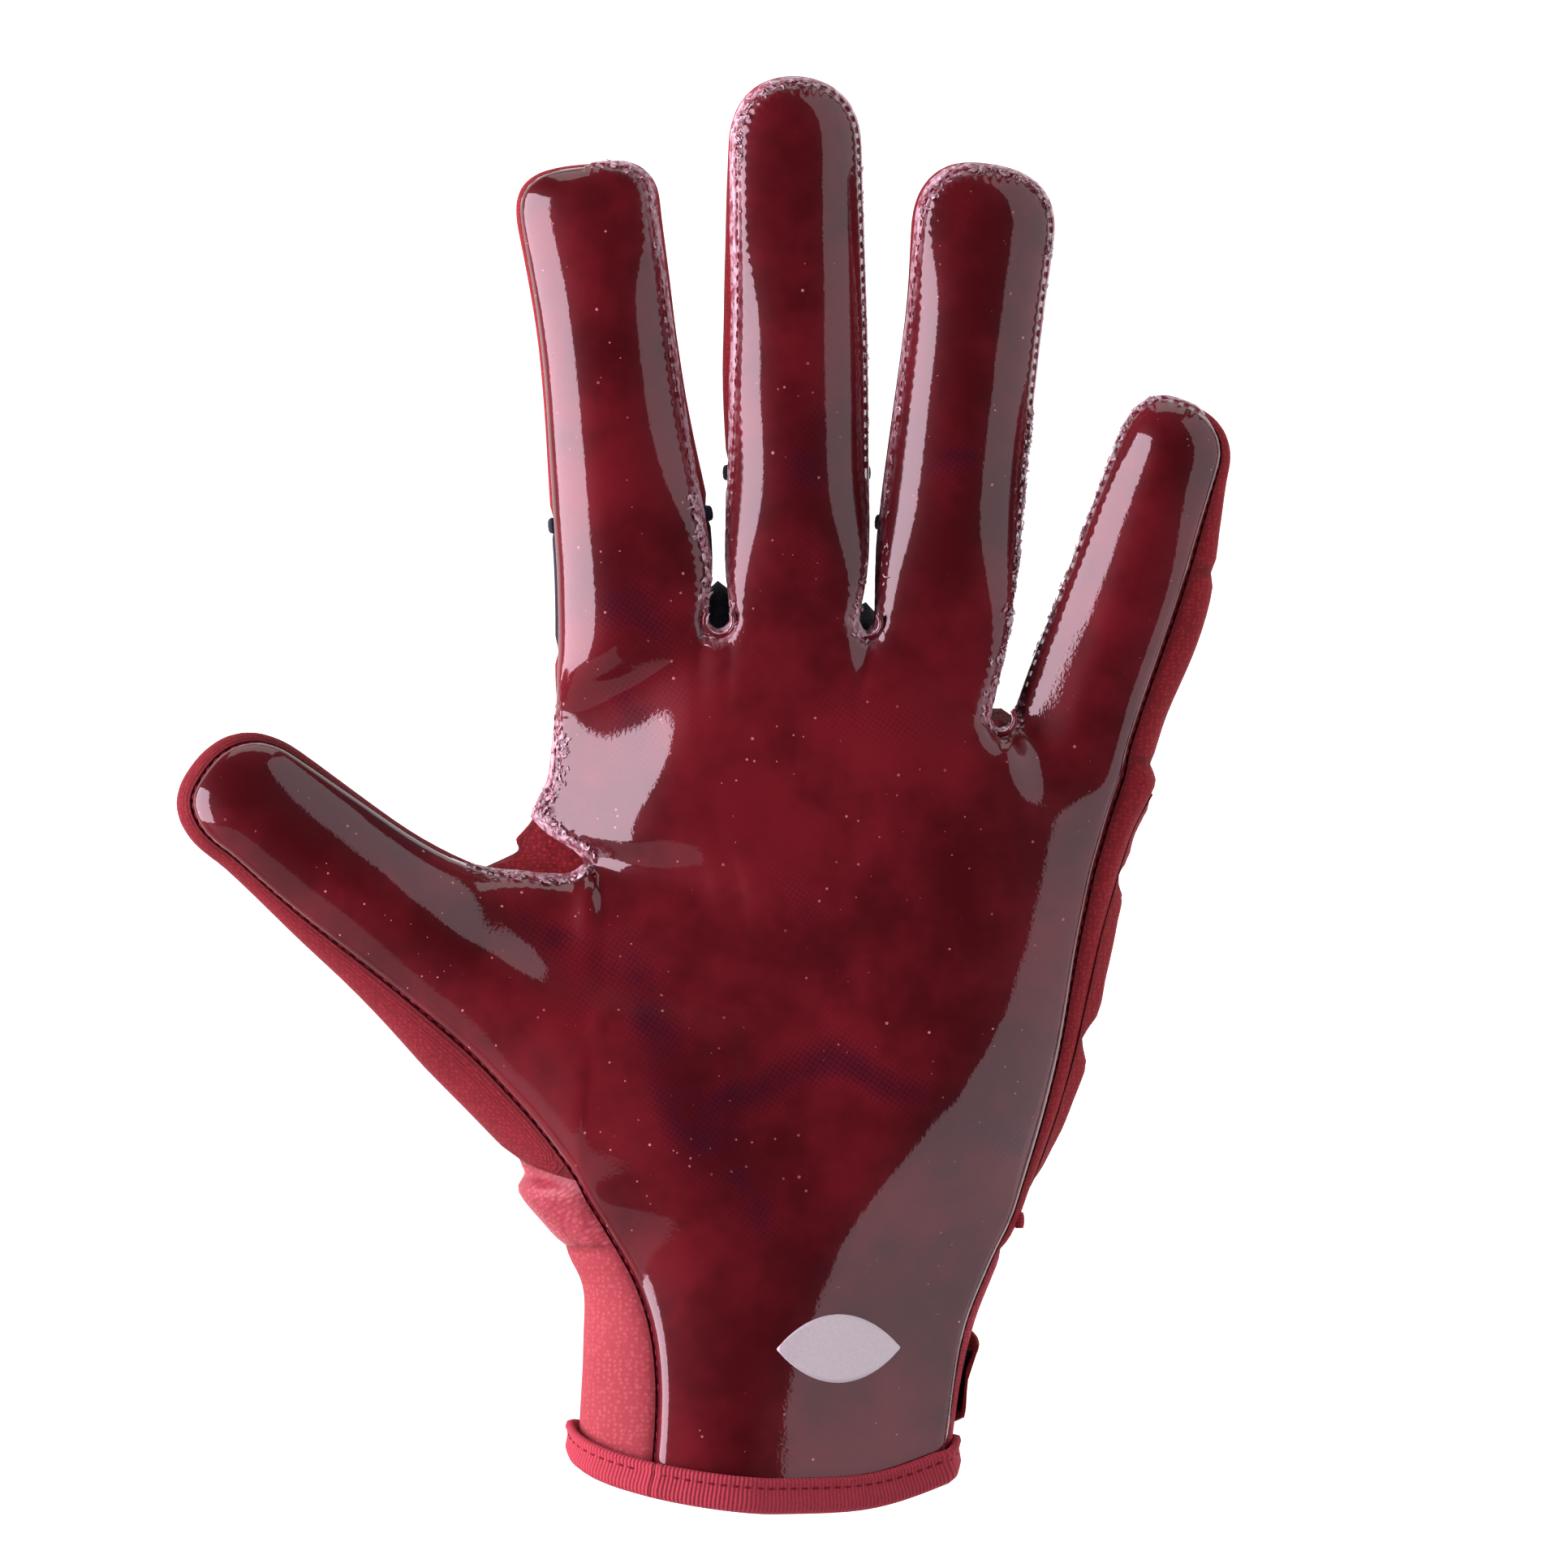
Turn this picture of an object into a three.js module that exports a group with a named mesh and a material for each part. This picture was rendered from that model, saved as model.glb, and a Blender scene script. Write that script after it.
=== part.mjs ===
// A receiver glove for the left hand, in millimetres: palm towards -Y, fingers up +Z, thumb at -X.
// The origin is the middle of the cuff's mouth, level with the lowest point of its binding.
// The glove is a hollow shell. A glossy film sheet makes the palm and the fronts of the digits, and
// cloth pieces make the back. Both are laid out on one grid of shared points, so that two pieces
// that meet at a seam have the same edge, drawn back by half of the seam's gap.
import * as THREE from "three";

const FILM_WALL = 1.3;
const CLOTH_WALL = 1.2;
const GUSSET_WALL = 1;
const SEAM_GAP = 0.4;
const LAYER_GAP = 0.35;

const DIGIT_CELLS = 6;
const CAP_CELLS = 3;
const SIDE_CELLS = 2;

const SHARPEST_MITRE = 0.6;

const FILM_WRAP_LIMIT = THREE.MathUtils.degToRad(79);
const TIP_WRAP = THREE.MathUtils.degToRad(76);
const LOOP_POWER = 2.3;

const FILM_RED = 0x5c0c16;
const CLOTH_RED = 0xa82a34;
const DARK_CLOTH = 0x1c1624;
const SATIN_RED = 0xc8566a;
const RIB_RED = 0x9a2f3c;
const HOOK_BLACK = 0x141214;
const MARK_WHITE = 0xe8e4e4;
const FILM_GLOSS = 0.12;
const CLOTH_MATT = 0.75;

// Names the columns of a table of numbers.
function table(columns, rows) {
  return rows.map((row) => Object.fromEntries(columns.map((name, n) => [name, row[n]])));
}

// The sections of a digit. The along columns are measured up the digit's axis from its root, at the
// film's left edge and its right edge. The others are distances from the axis: left and right are
// the outline's, filmLeft and filmRight the film's edges, and front and back the depths before and
// behind the digit's middle plane.
const SECTION = ["alongLeft", "alongRight", "left", "right", "filmLeft", "filmRight", "front", "back"];

const DIGITS = {
  index: {
    root: [-23.1, 143], lean: -4.6, tip: 78, tipPower: 3.4, planeRoot: 0, planeTip: -1.5, hem: 2,
    sections: table(SECTION, [
      [-1.7, 1.5, -12.7, 13.0, -12.4, 12.4, 10.5, 10.5],
      [10, 10, -11.8, 14.2, -11.6, 13.3, 10.2, 10.2],
      [19.5, 19.5, -11.6, 15.0, -11.4, 13.4, 9.8, 9.8],
      [32, 32, -11.4, 13.3, -11.2, 12.1, 9.5, 9.4],
      [45, 45, -11.2, 12.1, -11.0, 11.1, 9.1, 9.0],
      [58, 58, -12.0, 11.4, -11.8, 10.4, 8.7, 8.6],
      [68.5, 68.5, -13.3, 10.9, -13.0, 9.8, 8.2, 8.2],
    ]),
  },
  middle: {
    root: [3.9, 145.6], lean: 0, tip: 89.6, tipPower: 2.2, planeRoot: 0, planeTip: -1, hem: 2,
    sections: table(SECTION, [
      [0, 0, -10.4, 10.5, -9.9, 9.9, 10.5, 10.5],
      [10, 10, -11.0, 12.0, -10.7, 11.8, 10.4, 10.4],
      [25, 25, -11.4, 12.1, -10.6, 11.9, 10.0, 10.0],
      [38, 38, -12.1, 12.0, -10.3, 11.9, 9.7, 9.6],
      [51, 51, -11.9, 11.8, -9.9, 11.7, 9.4, 9.3],
      [64, 64, -11.7, 11.3, -10.2, 11.2, 9.0, 9.0],
      [77.5, 77.5, -11.1, 10.9, -10.3, 10.8, 8.6, 8.6],
    ]),
  },
  ring: {
    root: [26.3, 137.1], lean: 6.1, tip: 84.3, tipPower: 2.7, planeRoot: 0.5, planeTip: -1, hem: 2,
    sections: table(SECTION, [
      [7.5, -6.7, -10.4, 10.6, -9.9, 9.6, 10.2, 10.2],
      [15, 6, -10.9, 11.8, -10.7, 11.6, 10.1, 10.1],
      [24, 20, -11.6, 12.2, -11.1, 12.0, 9.8, 9.8],
      [36, 36, -11.3, 11.9, -10.5, 11.8, 9.5, 9.4],
      [49, 49, -10.9, 11.9, -10.2, 11.8, 9.1, 9.0],
      [61, 61, -10.7, 12.0, -10.0, 11.8, 8.8, 8.7],
      [72.5, 72.5, -11.4, 12.4, -10.3, 12.3, 8.4, 8.4],
    ]),
  },
  little: {
    root: [48.9, 127.1], lean: 17.8, tip: 58, tipPower: 2.4, planeRoot: 1.5, planeTip: 0, hem: 4,
    sections: table(SECTION, [
      [-0.7, -0.7, -10.0, 14.8, -9.5, 10.2, 9.6, 9.6],
      [8, 8, -9.7, 14.1, -9.4, 10.3, 9.3, 9.3],
      [18, 18, -8.9, 15.2, -8.7, 10.5, 9.0, 9.0],
      [28, 28, -8.2, 15.2, -8.0, 10.7, 8.7, 8.7],
      [37, 37, -7.9, 13.6, -7.7, 10.7, 8.4, 8.4],
      [47.5, 47.5, -7.4, 12.0, -7.1, 10.6, 7.9, 7.9],
    ]),
  },
  thumb: {
    root: [-37, 83.9], lean: -57.8, tip: 69.6, tipPower: 2.4, planeRoot: -3, planeTip: -7, hem: 0,
    sections: table(SECTION, [
      [-21.1, 5.3, -32.0, 23.0, -22.6, 22.5, 15.5, 13],
      [-10.5, 6.3, -25.6, 20.3, -18.3, 19.8, 14.6, 12.6],
      [-3.5, 9.7, -24.2, 18.1, -16.2, 17.6, 13.8, 12.2],
      [4, 14.9, -22.2, 15.7, -14.2, 15.2, 13.0, 11.8],
      [12, 20.5, -20.3, 12.8, -12.9, 12.4, 12.2, 11.3],
      [26, 31, -16.2, 11.6, -11.4, 11.3, 11.0, 10.6],
      [42, 42, -12.5, 12.1, -10.1, 11.8, 10.0, 9.8],
      [56, 56, -9.6, 13.2, -8.8, 12.9, 9.2, 9.0],
    ]),
  },
};
const FINGERS = ["index", "middle", "ring", "little"];

// The lowest point of each round slot between two fingers, in X and Z.
const SLOT_FEET = table(["x", "z"], [[-8.4, 143.1], [15.6, 142.8], [37.4, 127.1]]);

// The film's two side seams down the palm, from the fingers' roots to the cuff.
const PALM_ROWS = table(["leftX", "leftZ", "rightX", "rightZ"], [
  [-35.5, 140.3, 58.6, 123.2],
  [-35.8, 133.0, 57.2, 118.8],
  [-36.0, 125.5, 55.8, 114.0],
  [-36.6, 118.8, 54.4, 108.9],
  [-39.3, 113.8, 53.2, 104.5],
  [-34.8, 110.2, 52.2, 99.5],
  [-31.6, 108.4, 51.2, 94.5],
  [-29.5, 105.8, 50.2, 89.0],
  [-28.5, 97.5, 49.2, 82.5],
  [-28.5, 89.0, 48.0, 75.5],
  [-29.2, 81.0, 46.6, 69.5],
  [-30.3, 73.0, 45.2, 64.0],
  [-31.4, 63.0, 43.6, 58.5],
  [-31.2, 53.6, 41.9, 53.0],
  [-28.6, 48.6, 40.2, 47.5],
  [-25.3, 43.0, 37.6, 42.5],
  [-22.2, 37.5, 35.2, 37.0],
  [-19.6, 30.0, 32.6, 30.5],
  [-18.6, 21.5, 31.0, 22.5],
  [-18.8, 13.0, 30.0, 14.5],
  [-19.6, 4.4, 28.7, 6.0],
]);
const LAST_ROW = PALM_ROWS.length - 1;
const CUFF_EDGE_LIFT = 1.6;

// The outline and depths of the hand's body at a height. Past the thumb the left side is where the
// body would end without it.
const BODY_LEVELS = table(["z", "left", "right", "front", "back"], [
  [0, -32.2, 31.6, 19.5, 19.5],
  [9, -31.9, 31.6, 19.3, 19.3],
  [16, -31.4, 31.6, 19, 19],
  [23, -31.0, 31.9, 18.5, 18.5],
  [30, -30.8, 34.2, 18, 18],
  [37, -30.6, 36.4, 17.6, 17.5],
  [44, -34.3, 39.5, 17.6, 17],
  [51, -40.3, 41.2, 18, 16.5],
  [57, -43.2, 43.6, 18.4, 16],
  [65, -44.5, 46.4, 18.4, 15.5],
  [75, -44, 49.4, 17.8, 15],
  [85, -43, 51.4, 17, 14.5],
  [95, -42, 53.6, 16, 14],
  [105, -41.5, 56.1, 15, 13.5],
  [113, -41, 58.2, 14.2, 13],
  [119, -38, 60, 13.2, 12.8],
  [125, -36.6, 61.4, 12.4, 12.5],
  [140, -36.2, 65, 10.6, 11.5],
  [150, -36, 67, 10, 11],
]);

// Pads and hollows of the palm: each adds its height towards -Y within about its radius.
const RELIEF_REACH = 1.5;
const PALM_RELIEF = table(["x", "z", "radius", "height"], [
  [34, 72, 24, 2.4],
  [6, 96, 24, -2.6],
  [-9, 123, 13, 2.2],
  [-28, 128, 8, -1.4],
  [26, 120, 15, 1.2],
]);

// Rows and columns of the body's grid where the thumb, the web and the smaller panels meet it.
const THUMB_TOP_ROW = 7;
const THUMB_FOOT_ROW = THUMB_TOP_ROW + DIGIT_CELLS;
const FLAP_ROW = 4;
const TOP_FADE = 0.3;
const CUFF_FADE = 0.35;
const THUMB_FADE_CELLS = 12;
const THUMB_FADE_ROWS = 4;
const BACK_FADE_CELLS = 7;

// Where the thumb's back is sewn to the back of the hand, from the lower seam to the web.
const THUMB_BASE = table(["x", "y", "z"], [
  [-42.9, 0, 57.3],
  [-42, 9.5, 66.5],
  [-38.5, 12.4, 78],
  [-37.5, 12, 90],
  [-39.5, 9, 101],
]);
const WEB_THUMB_SECTIONS = [1, 2, 3, 4];
const WEB_DEPTH = 3.5;
const WEB_MIDDLE_SHARE = 0.4;

// The saddle of cloth between two fingers, behind the slot in the film.
const SADDLE_DEPTHS = [1.5, 6.5];
const SADDLE_DROP = 2.5;

// The panels that are cut out of the back's grid, from their first to their last row and column.
const PANELS = [
  { name: "satin_tab", top: 12, last: 15, left: 0, right: 4, color: SATIN_RED },
  { name: "wrist_knit", top: 15, last: 20, left: 0, right: 5, color: CLOTH_RED },
  { name: "rib_side", top: 15, last: 20, left: 16, right: undefined, color: RIB_RED },
];

// The binding round the cuff's mouth: a cloth band folded over the shell's edge.
const BINDING_PROFILE = table(["out", "down"], [
  [1.7, 0.6], [0.9, 1.6], [-2.2, 1.6], [-3.0, 0.6], [-3.0, -4.8],
  [-1.7, -4.8], [-1.7, 0.3], [0.35, 0.3], [0.35, -4.8], [1.7, -4.8],
]);
const CUFF_RISE = { left: 9, right: 7, back: 5, curve: 2.6 };

// The wrist strap round the back of the wrist, with its hook pad under the free end at the right.
// Angles are measured from the middle of the back towards +X.
const STRAP = {
  start: -34, end: 91, steps: 14, startLevel: 23.5, endLevel: 21, fullWidth: 19, endWidth: 12.5,
  taper: 38, low: 1.45, high: 2.55, rootSteps: 4,
};
const HOOK = {
  start: 62, end: 89, steps: 5, startLevel: 21.5, endLevel: 21, width: 10, low: LAYER_GAP, high: 1.1,
};
const TURN_STEP = 0.02;

// Padded lumps along the back's little-finger side: first and last row, first and last column.
const SIDE_PADS = table(["top", "foot", "first", "last"], [
  [1, 4, 13, 17],
  [4, 9, 13, 17],
  [9, 13, 13, 17],
]);
const PAD_EDGE = 0.9;
const PAD_CROWN = 2.3;

// The plain ball-shaped mark low on the palm.
const MARK = {
  x: 11, z: 27, halfLength: 10, halfHeight: 6, thickness: 0.5, cells: 8, across: 2, end: 0.9,
};

// The folded end of the seam's tape, and the row that it lies on.
const TAG = { row: 14, width: 3.2, height: 2.6, thickness: 1.1, stand: 0.2 };

const { lerp, clamp, degToRad, smoothstep } = THREE.MathUtils;
const fadeOut = (t) => 1 - smoothstep(t, 0, 1);

// Reads a table's columns at a height between its rows.
function atLevel(rows, z) {
  const n = clamp(rows.findIndex((row) => row.z > z), 1, rows.length - 1);
  const above = z >= rows[rows.length - 1].z ? rows.length - 1 : n;
  const a = rows[above - 1];
  const b = rows[above];
  const t = clamp((z - a.z) / (b.z - a.z), 0, 1);
  return Object.fromEntries(Object.keys(a).map((key) => [key, lerp(a[key], b[key], t)]));
}

// The shared points of the shell.
const points = [];

function addPoint(x, y, z) {
  points.push(new THREE.Vector3(x, y, z));
  return points.length - 1;
}

const powered = (value, power) => Math.sign(value) * Math.abs(value) ** power;

// A point on the body's loop at an angle from the middle of the back, and the angle of a point.
function onBody(angle, z) {
  const level = atLevel(BODY_LEVELS, z);
  const centre = (level.left + level.right) / 2;
  const half = (level.right - level.left) / 2;
  const across = powered(Math.sin(angle), 2 / LOOP_POWER);
  const depth = powered(Math.cos(angle), 2 / LOOP_POWER);
  return new THREE.Vector3(centre + half * across, depth * (depth > 0 ? level.back : level.front), z);
}

function bodyAngle(point) {
  const level = atLevel(BODY_LEVELS, point.z);
  const across = (point.x - (level.left + level.right) / 2) / ((level.right - level.left) / 2);
  const depth = point.y / (point.y > 0 ? level.back : level.front);
  return Math.atan2(powered(across, LOOP_POWER / 2), powered(depth, LOOP_POWER / 2));
}

// The palm's surface, as a depth before the body's middle plane.
function palmDepth(x, z) {
  const level = atLevel(BODY_LEVELS, z);
  const across = (x - (level.left + level.right) / 2) / ((level.right - level.left) / 2);
  const round = Math.max(0, 1 - Math.abs(across) ** LOOP_POWER) ** (1 / LOOP_POWER);
  const relief = PALM_RELIEF.reduce((sum, pad) => {
    const away = Math.hypot(x - pad.x, z - pad.z) / pad.radius;
    return sum + pad.height * Math.exp(-away * away);
  }, 0);
  return level.front * round + relief * Math.min(1, round * RELIEF_REACH);
}

// How far the cuff's edge lies above its lowest point, by the angle from the middle of the back.
function cuffRise(angle) {
  const turned = 2 - Math.abs(angle) / (Math.PI / 2);
  const sideRise = angle < 0 ? CUFF_RISE.left : CUFF_RISE.right;
  if (turned < 1) return sideRise * turned ** CUFF_RISE.curve;
  return lerp(sideRise, CUFF_RISE.back, smoothstep(turned - 1, 0, 1));
}

// A point of a digit: angle 0 is the middle of its front, or of its back if behind is true.
// Radial is 0 on the digit's length, and past the last section the tip closes as a dome.
function onDigit(digit, section, angle, behind, radial = null) {
  const axis = degToRad(digit.lean);
  const up = new THREE.Vector2(Math.sin(axis), Math.cos(axis));
  const side = new THREE.Vector2(Math.cos(axis), -Math.sin(axis));
  const half = (value) => (value < 0 ? -section.left : section.right);
  let across = Math.sin(angle);
  let rise = 0;
  let level = Math.cos(angle);
  if (radial) {
    const swing = Math.atan2(radial.up, radial.across);
    const reach = Math.sin(radial.angle);
    const power = digit.tipPower;
    const sum = Math.abs(Math.cos(swing)) ** power + Math.abs(Math.sin(swing)) ** power;
    const fullness = sum ** (-1 / power);
    across = reach * Math.cos(swing) * fullness;
    rise = reach * Math.sin(swing) * fullness;
    level = Math.cos(radial.angle);
  }
  const offset = across * half(across);
  const share = clamp((offset - section.filmLeft) / (section.filmRight - section.filmLeft), 0, 1);
  const along = lerp(section.alongLeft, section.alongRight, share) + rise * (digit.tip - section.alongLeft);
  const plane = lerp(digit.planeRoot, digit.planeTip, clamp(along / digit.tip, 0, 1));
  const front = behind ? -level : level;
  const depth = front * (front > 0 ? section.front : section.back);
  return new THREE.Vector3(
    digit.root[0] + up.x * along + side.x * offset,
    plane - depth,
    digit.root[1] + up.y * along + side.y * offset,
  );
}

// How far round from the middle of the front the film reaches on each side of a section.
function filmWraps(section) {
  const wrap = (film, outline) => Math.min(FILM_WRAP_LIMIT, Math.asin(Math.min(1, film / outline)));
  return { left: wrap(section.filmLeft, section.left), right: wrap(section.filmRight, section.right) };
}

// The rows of a digit's film or cloth from tip to root. Each column runs from the left seam to the
// right seam, over the front for film and round the back for cloth.
function digitRows(digit, behind) {
  const { sections } = digit;
  const last = sections[sections.length - 1];
  const reach = (section) => {
    const wraps = filmWraps(section);
    const turn = (angle) => (behind ? Math.PI - angle : angle);
    return { left: turn(wraps.left), right: turn(wraps.right), tip: turn(TIP_WRAP) };
  };
  const column = (n) => (2 * n) / DIGIT_CELLS - 1;
  const body = sections.map((section) => {
    const wraps = reach(section);
    return Array.from({ length: DIGIT_CELLS + 1 }, (_, n) => {
      const share = column(n);
      return onDigit(digit, section, share * (share < 0 ? wraps.left : wraps.right), behind);
    });
  });
  const wraps = reach(last);
  const cap = Array.from({ length: CAP_CELLS }, (_, n) => {
    const v = (n + 1) / CAP_CELLS;
    return Array.from({ length: DIGIT_CELLS + 1 }, (_unused, c) => {
      const u = column(c);
      const across = u * Math.sqrt(1 - (v * v) / 2);
      const up = v * Math.sqrt(1 - (u * u) / 2);
      const radius = Math.hypot(across, up);
      const sideShare = (across / radius) ** 2;
      const side = u < 0 ? wraps.left : wraps.right;
      const angle = radius * lerp(wraps.tip, side, sideShare);
      return onDigit(digit, last, 0, behind, { angle, across, up });
    });
  });
  return [...cap.reverse(), ...body.reverse()];
}

// The face of each cell of a grid of shared points. A cell that closes to a point has fewer corners.
function gridFaces(rows) {
  const faces = [];
  for (let i = 0; i + 1 < rows.length; i += 1) {
    for (let j = 0; j + 1 < rows[i].length; j += 1) {
      const corners = [rows[i][j], rows[i + 1][j], rows[i + 1][j + 1], rows[i][j + 1]];
      faces.push(corners.filter((id, n) => corners.indexOf(id) === n));
    }
  }
  return faces.filter((face) => face.length > 2);
}

const pooled = (p) => addPoint(p.x, p.y, p.z);
const rootOf = (strip) => strip[strip.length - 1];

// The film: the digits' fronts, the feet of the round slots, and the palm.
const film = {};
for (const [name, digit] of Object.entries(DIGITS)) {
  film[name] = digitRows(digit, false).map((row) => row.map(pooled));
}
const slotFeet = SLOT_FEET.map(({ x, z }, n) => {
  const before = points[rootOf(film[FINGERS[n]])[DIGIT_CELLS]];
  const after = points[rootOf(film[FINGERS[n + 1]])[0]];
  return addPoint(x, (before.y + after.y) / 2, z);
});
const palmTop = FINGERS.flatMap((name, n) => [...rootOf(film[name]), ...slotFeet.slice(n, n + 1)]);
const PALM_LAST = palmTop.length - 1;

const head = PALM_ROWS[0];
const foot = PALM_ROWS[LAST_ROW];
const howFarDown = (row) => (head.rightZ - row.rightZ) / (head.rightZ - foot.rightZ);
const nearTop = (row) => fadeOut(howFarDown(row) / TOP_FADE);
const nearCuff = (row) => fadeOut((1 - howFarDown(row)) / CUFF_FADE);

// Where the palm's points lie in X and Z: on a line between the two side seams, drawn towards the
// fingers' roots in the top rows and towards the cuff's curve in the last ones.
const palmPlaces = PALM_ROWS.map((row) =>
  palmTop.map((id) => {
    const top = points[id];
    const first = points[palmTop[0]];
    const last = points[palmTop[PALM_LAST]];
    const u = (top.x - first.x) / (last.x - first.x);
    const cuffX = lerp(foot.leftX, foot.rightX, u);
    const cuffPoint = new THREE.Vector3(cuffX, -palmDepth(cuffX, 0), 0);
    const cuffZ = cuffRise(bodyAngle(cuffPoint)) + CUFF_EDGE_LIFT;
    const topBow = top.z - lerp(first.z, last.z, u);
    const cuffBow = cuffZ - lerp(foot.leftZ, foot.rightZ, u);
    return {
      x: lerp(row.leftX, row.rightX, u),
      z: lerp(row.leftZ, row.rightZ, u) + topBow * nearTop(row) + cuffBow * nearCuff(row),
    };
  }),
);
const topLift = palmTop.map((id, j) => {
  const place = palmPlaces[0][j];
  return points[id].y + palmDepth(place.x, place.z);
});
const thumbRoot = rootOf(film.thumb);

// How far the thumb's root stands before the palm's own surface at a row.
function thumbLift(i) {
  const beside = clamp(i, THUMB_TOP_ROW, THUMB_FOOT_ROW);
  const place = palmPlaces[beside][0];
  const lift = points[thumbRoot[THUMB_FOOT_ROW - beside]].y + palmDepth(place.x, place.z);
  return lift * fadeOut(Math.abs(i - beside) / THUMB_FADE_ROWS);
}
const palm = palmPlaces.map((row, i) =>
  row.map(({ x, z }, j) => {
    if (i === 0) return palmTop[j];
    if (j === 0 && i >= THUMB_TOP_ROW && i <= THUMB_FOOT_ROW) return thumbRoot[THUMB_FOOT_ROW - i];
    const lift = topLift[j] * nearTop(PALM_ROWS[i]) + thumbLift(i) * fadeOut(j / THUMB_FADE_CELLS);
    return addPoint(x, lift - palmDepth(x, z), z);
  }),
);

// The web between thumb and index finger. Its front edge is the film's slot, from the flap's
// corner round the hole to the thumb. Its back edge runs straighter and deeper.
const thumbRowOf = (section) => CAP_CELLS + DIGITS.thumb.sections.length - 1 - section;
const webFront = [
  ...palm.slice(FLAP_ROW, THUMB_TOP_ROW + 1).map((row) => row[0]),
  ...WEB_THUMB_SECTIONS.map((section) => film.thumb[thumbRowOf(section)][DIGIT_CELLS]),
];
const WEB_LAST = webFront.length - 1;
const WEB_APEX = THUMB_TOP_ROW - FLAP_ROW;
const webBack = webFront.map((id, n) => {
  if (n === 0 || n === WEB_LAST) return id;
  const p = points[webFront[0]].clone().lerp(points[webFront[WEB_LAST]], n / WEB_LAST);
  p.y += WEB_DEPTH * Math.sin((Math.PI * n) / WEB_LAST);
  return pooled(p);
});
const webMiddle = webFront.map((id, n) => {
  if (n === 0 || n === WEB_LAST) return id;
  return pooled(points[id].clone().lerp(points[webBack[n]], WEB_MIDDLE_SHARE));
});

// The cloth round the back of each digit, sewn to the film along both sides and over the tip. Next
// to its root the thumb's cloth runs straight to its base and follows the web's back edge.
const cloth = {};
for (const [name, digit] of Object.entries(DIGITS)) {
  const places = digitRows(digit, true);
  const webSections = name === "thumb" ? WEB_LAST - WEB_APEX : 0;
  cloth[name] = places.map((row, i) =>
    row.map((p, c) => {
      const section = places.length - 1 - i;
      const beside = section < webSections;
      if (beside && c === DIGIT_CELLS) return webBack[WEB_APEX + section];
      if (i === 0 || c === 0 || c === DIGIT_CELLS) return film[name][i][c];
      if (!beside) return pooled(p);
      const { x, y, z } = THUMB_BASE[c - 1];
      const base = new THREE.Vector3(x, y, z);
      return pooled(base.lerp(places[places.length - 1 - webSections][c], section / webSections));
    }),
  );
}

// The saddles of cloth between the fingers, from the film's slot to the back of the hand.
const saddles = slotFeet.map((id, n) => {
  const left = rootOf(cloth[FINGERS[n]]).slice(DIGIT_CELLS - SIDE_CELLS).reverse();
  const right = rootOf(cloth[FINGERS[n + 1]]).slice(0, SIDE_CELLS + 1);
  return left.map((corner, k) => {
    if (k === 0) return [corner, id, right[k]];
    const between = points[corner].clone().lerp(points[right[k]], 0.5);
    const z = points[id].z - (SADDLE_DROP * k) / SIDE_CELLS;
    return [corner, addPoint(between.x, SADDLE_DEPTHS[k - 1], z), right[k]];
  });
});

// The back of the hand, from the fingers' roots and the saddles down to the cuff. Its rows start
// and end on the palm's side seams, and beside the thumb on the thumb's base.
const backTop = FINGERS.flatMap((name, n) => {
  const first = n === 0 ? 0 : SIDE_CELLS;
  const last = n === FINGERS.length - 1 ? DIGIT_CELLS : DIGIT_CELLS - SIDE_CELLS;
  const web = saddles.slice(n, n + 1).map((saddle) => saddle[SIDE_CELLS][1]);
  return [...rootOf(cloth[name]).slice(first, last + 1), ...web];
});
const BACK_LAST = backTop.length - 1;
const backAngles = backTop.map((id) => bodyAngle(points[id]));

function leftEnd(i) {
  if (i > FLAP_ROW && i < THUMB_TOP_ROW) return webBack[i - FLAP_ROW];
  if (i >= THUMB_TOP_ROW && i <= THUMB_FOOT_ROW) return rootOf(cloth.thumb)[THUMB_FOOT_ROW - i];
  return palm[i][0];
}

const back = PALM_ROWS.map((row, i) => {
  const ids = [leftEnd(i), palm[i][PALM_LAST]];
  const ends = ids.map((id) => points[id]);
  const angles = ends.map(bodyAngle);
  if (angles[0] > 0) angles[0] -= 2 * Math.PI;
  const off = ends.map((p, n) => p.clone().sub(onBody(angles[n], p.z)));
  return backTop.map((topId, k) => {
    if (i === 0) return topId;
    if (k === 0) return ids[0];
    if (k === BACK_LAST) return ids[1];
    const u = k / BACK_LAST;
    const top = points[topId];
    const turn = backAngles[k] - lerp(backAngles[0], backAngles[BACK_LAST], u);
    const angle = lerp(angles[0], angles[1], u) + turn * nearTop(row);
    const topBow = top.z - lerp(points[backTop[0]].z, points[backTop[BACK_LAST]].z, u);
    const cuffZ = cuffRise(angle) + CUFF_EDGE_LIFT;
    const cuffBow = cuffZ - lerp(foot.leftZ, foot.rightZ, u);
    const z = lerp(ends[0].z, ends[1].z, u) + topBow * nearTop(row) + cuffBow * nearCuff(row);
    const p = onBody(angle, z);
    p.add(top.clone().sub(onBody(backAngles[k], top.z)).multiplyScalar(nearTop(row)));
    p.add(off[0].clone().multiplyScalar(fadeOut(k / BACK_FADE_CELLS)));
    p.add(off[1].clone().multiplyScalar(fadeOut((BACK_LAST - k) / BACK_FADE_CELLS)));
    return pooled(p);
  });
});

// A part of a grid, from one row and column to another.
function patch(rows, top, last, left, right) {
  return rows.slice(top, last + 1).map((row) => row.slice(left, right + 1));
}

// Every piece of the shell as faces on the shared points, with its wall and colour.
const shell = [];
const shellPiece = (name, faces, wall, color) => shell.push({ name, faces, wall, color });

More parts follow.
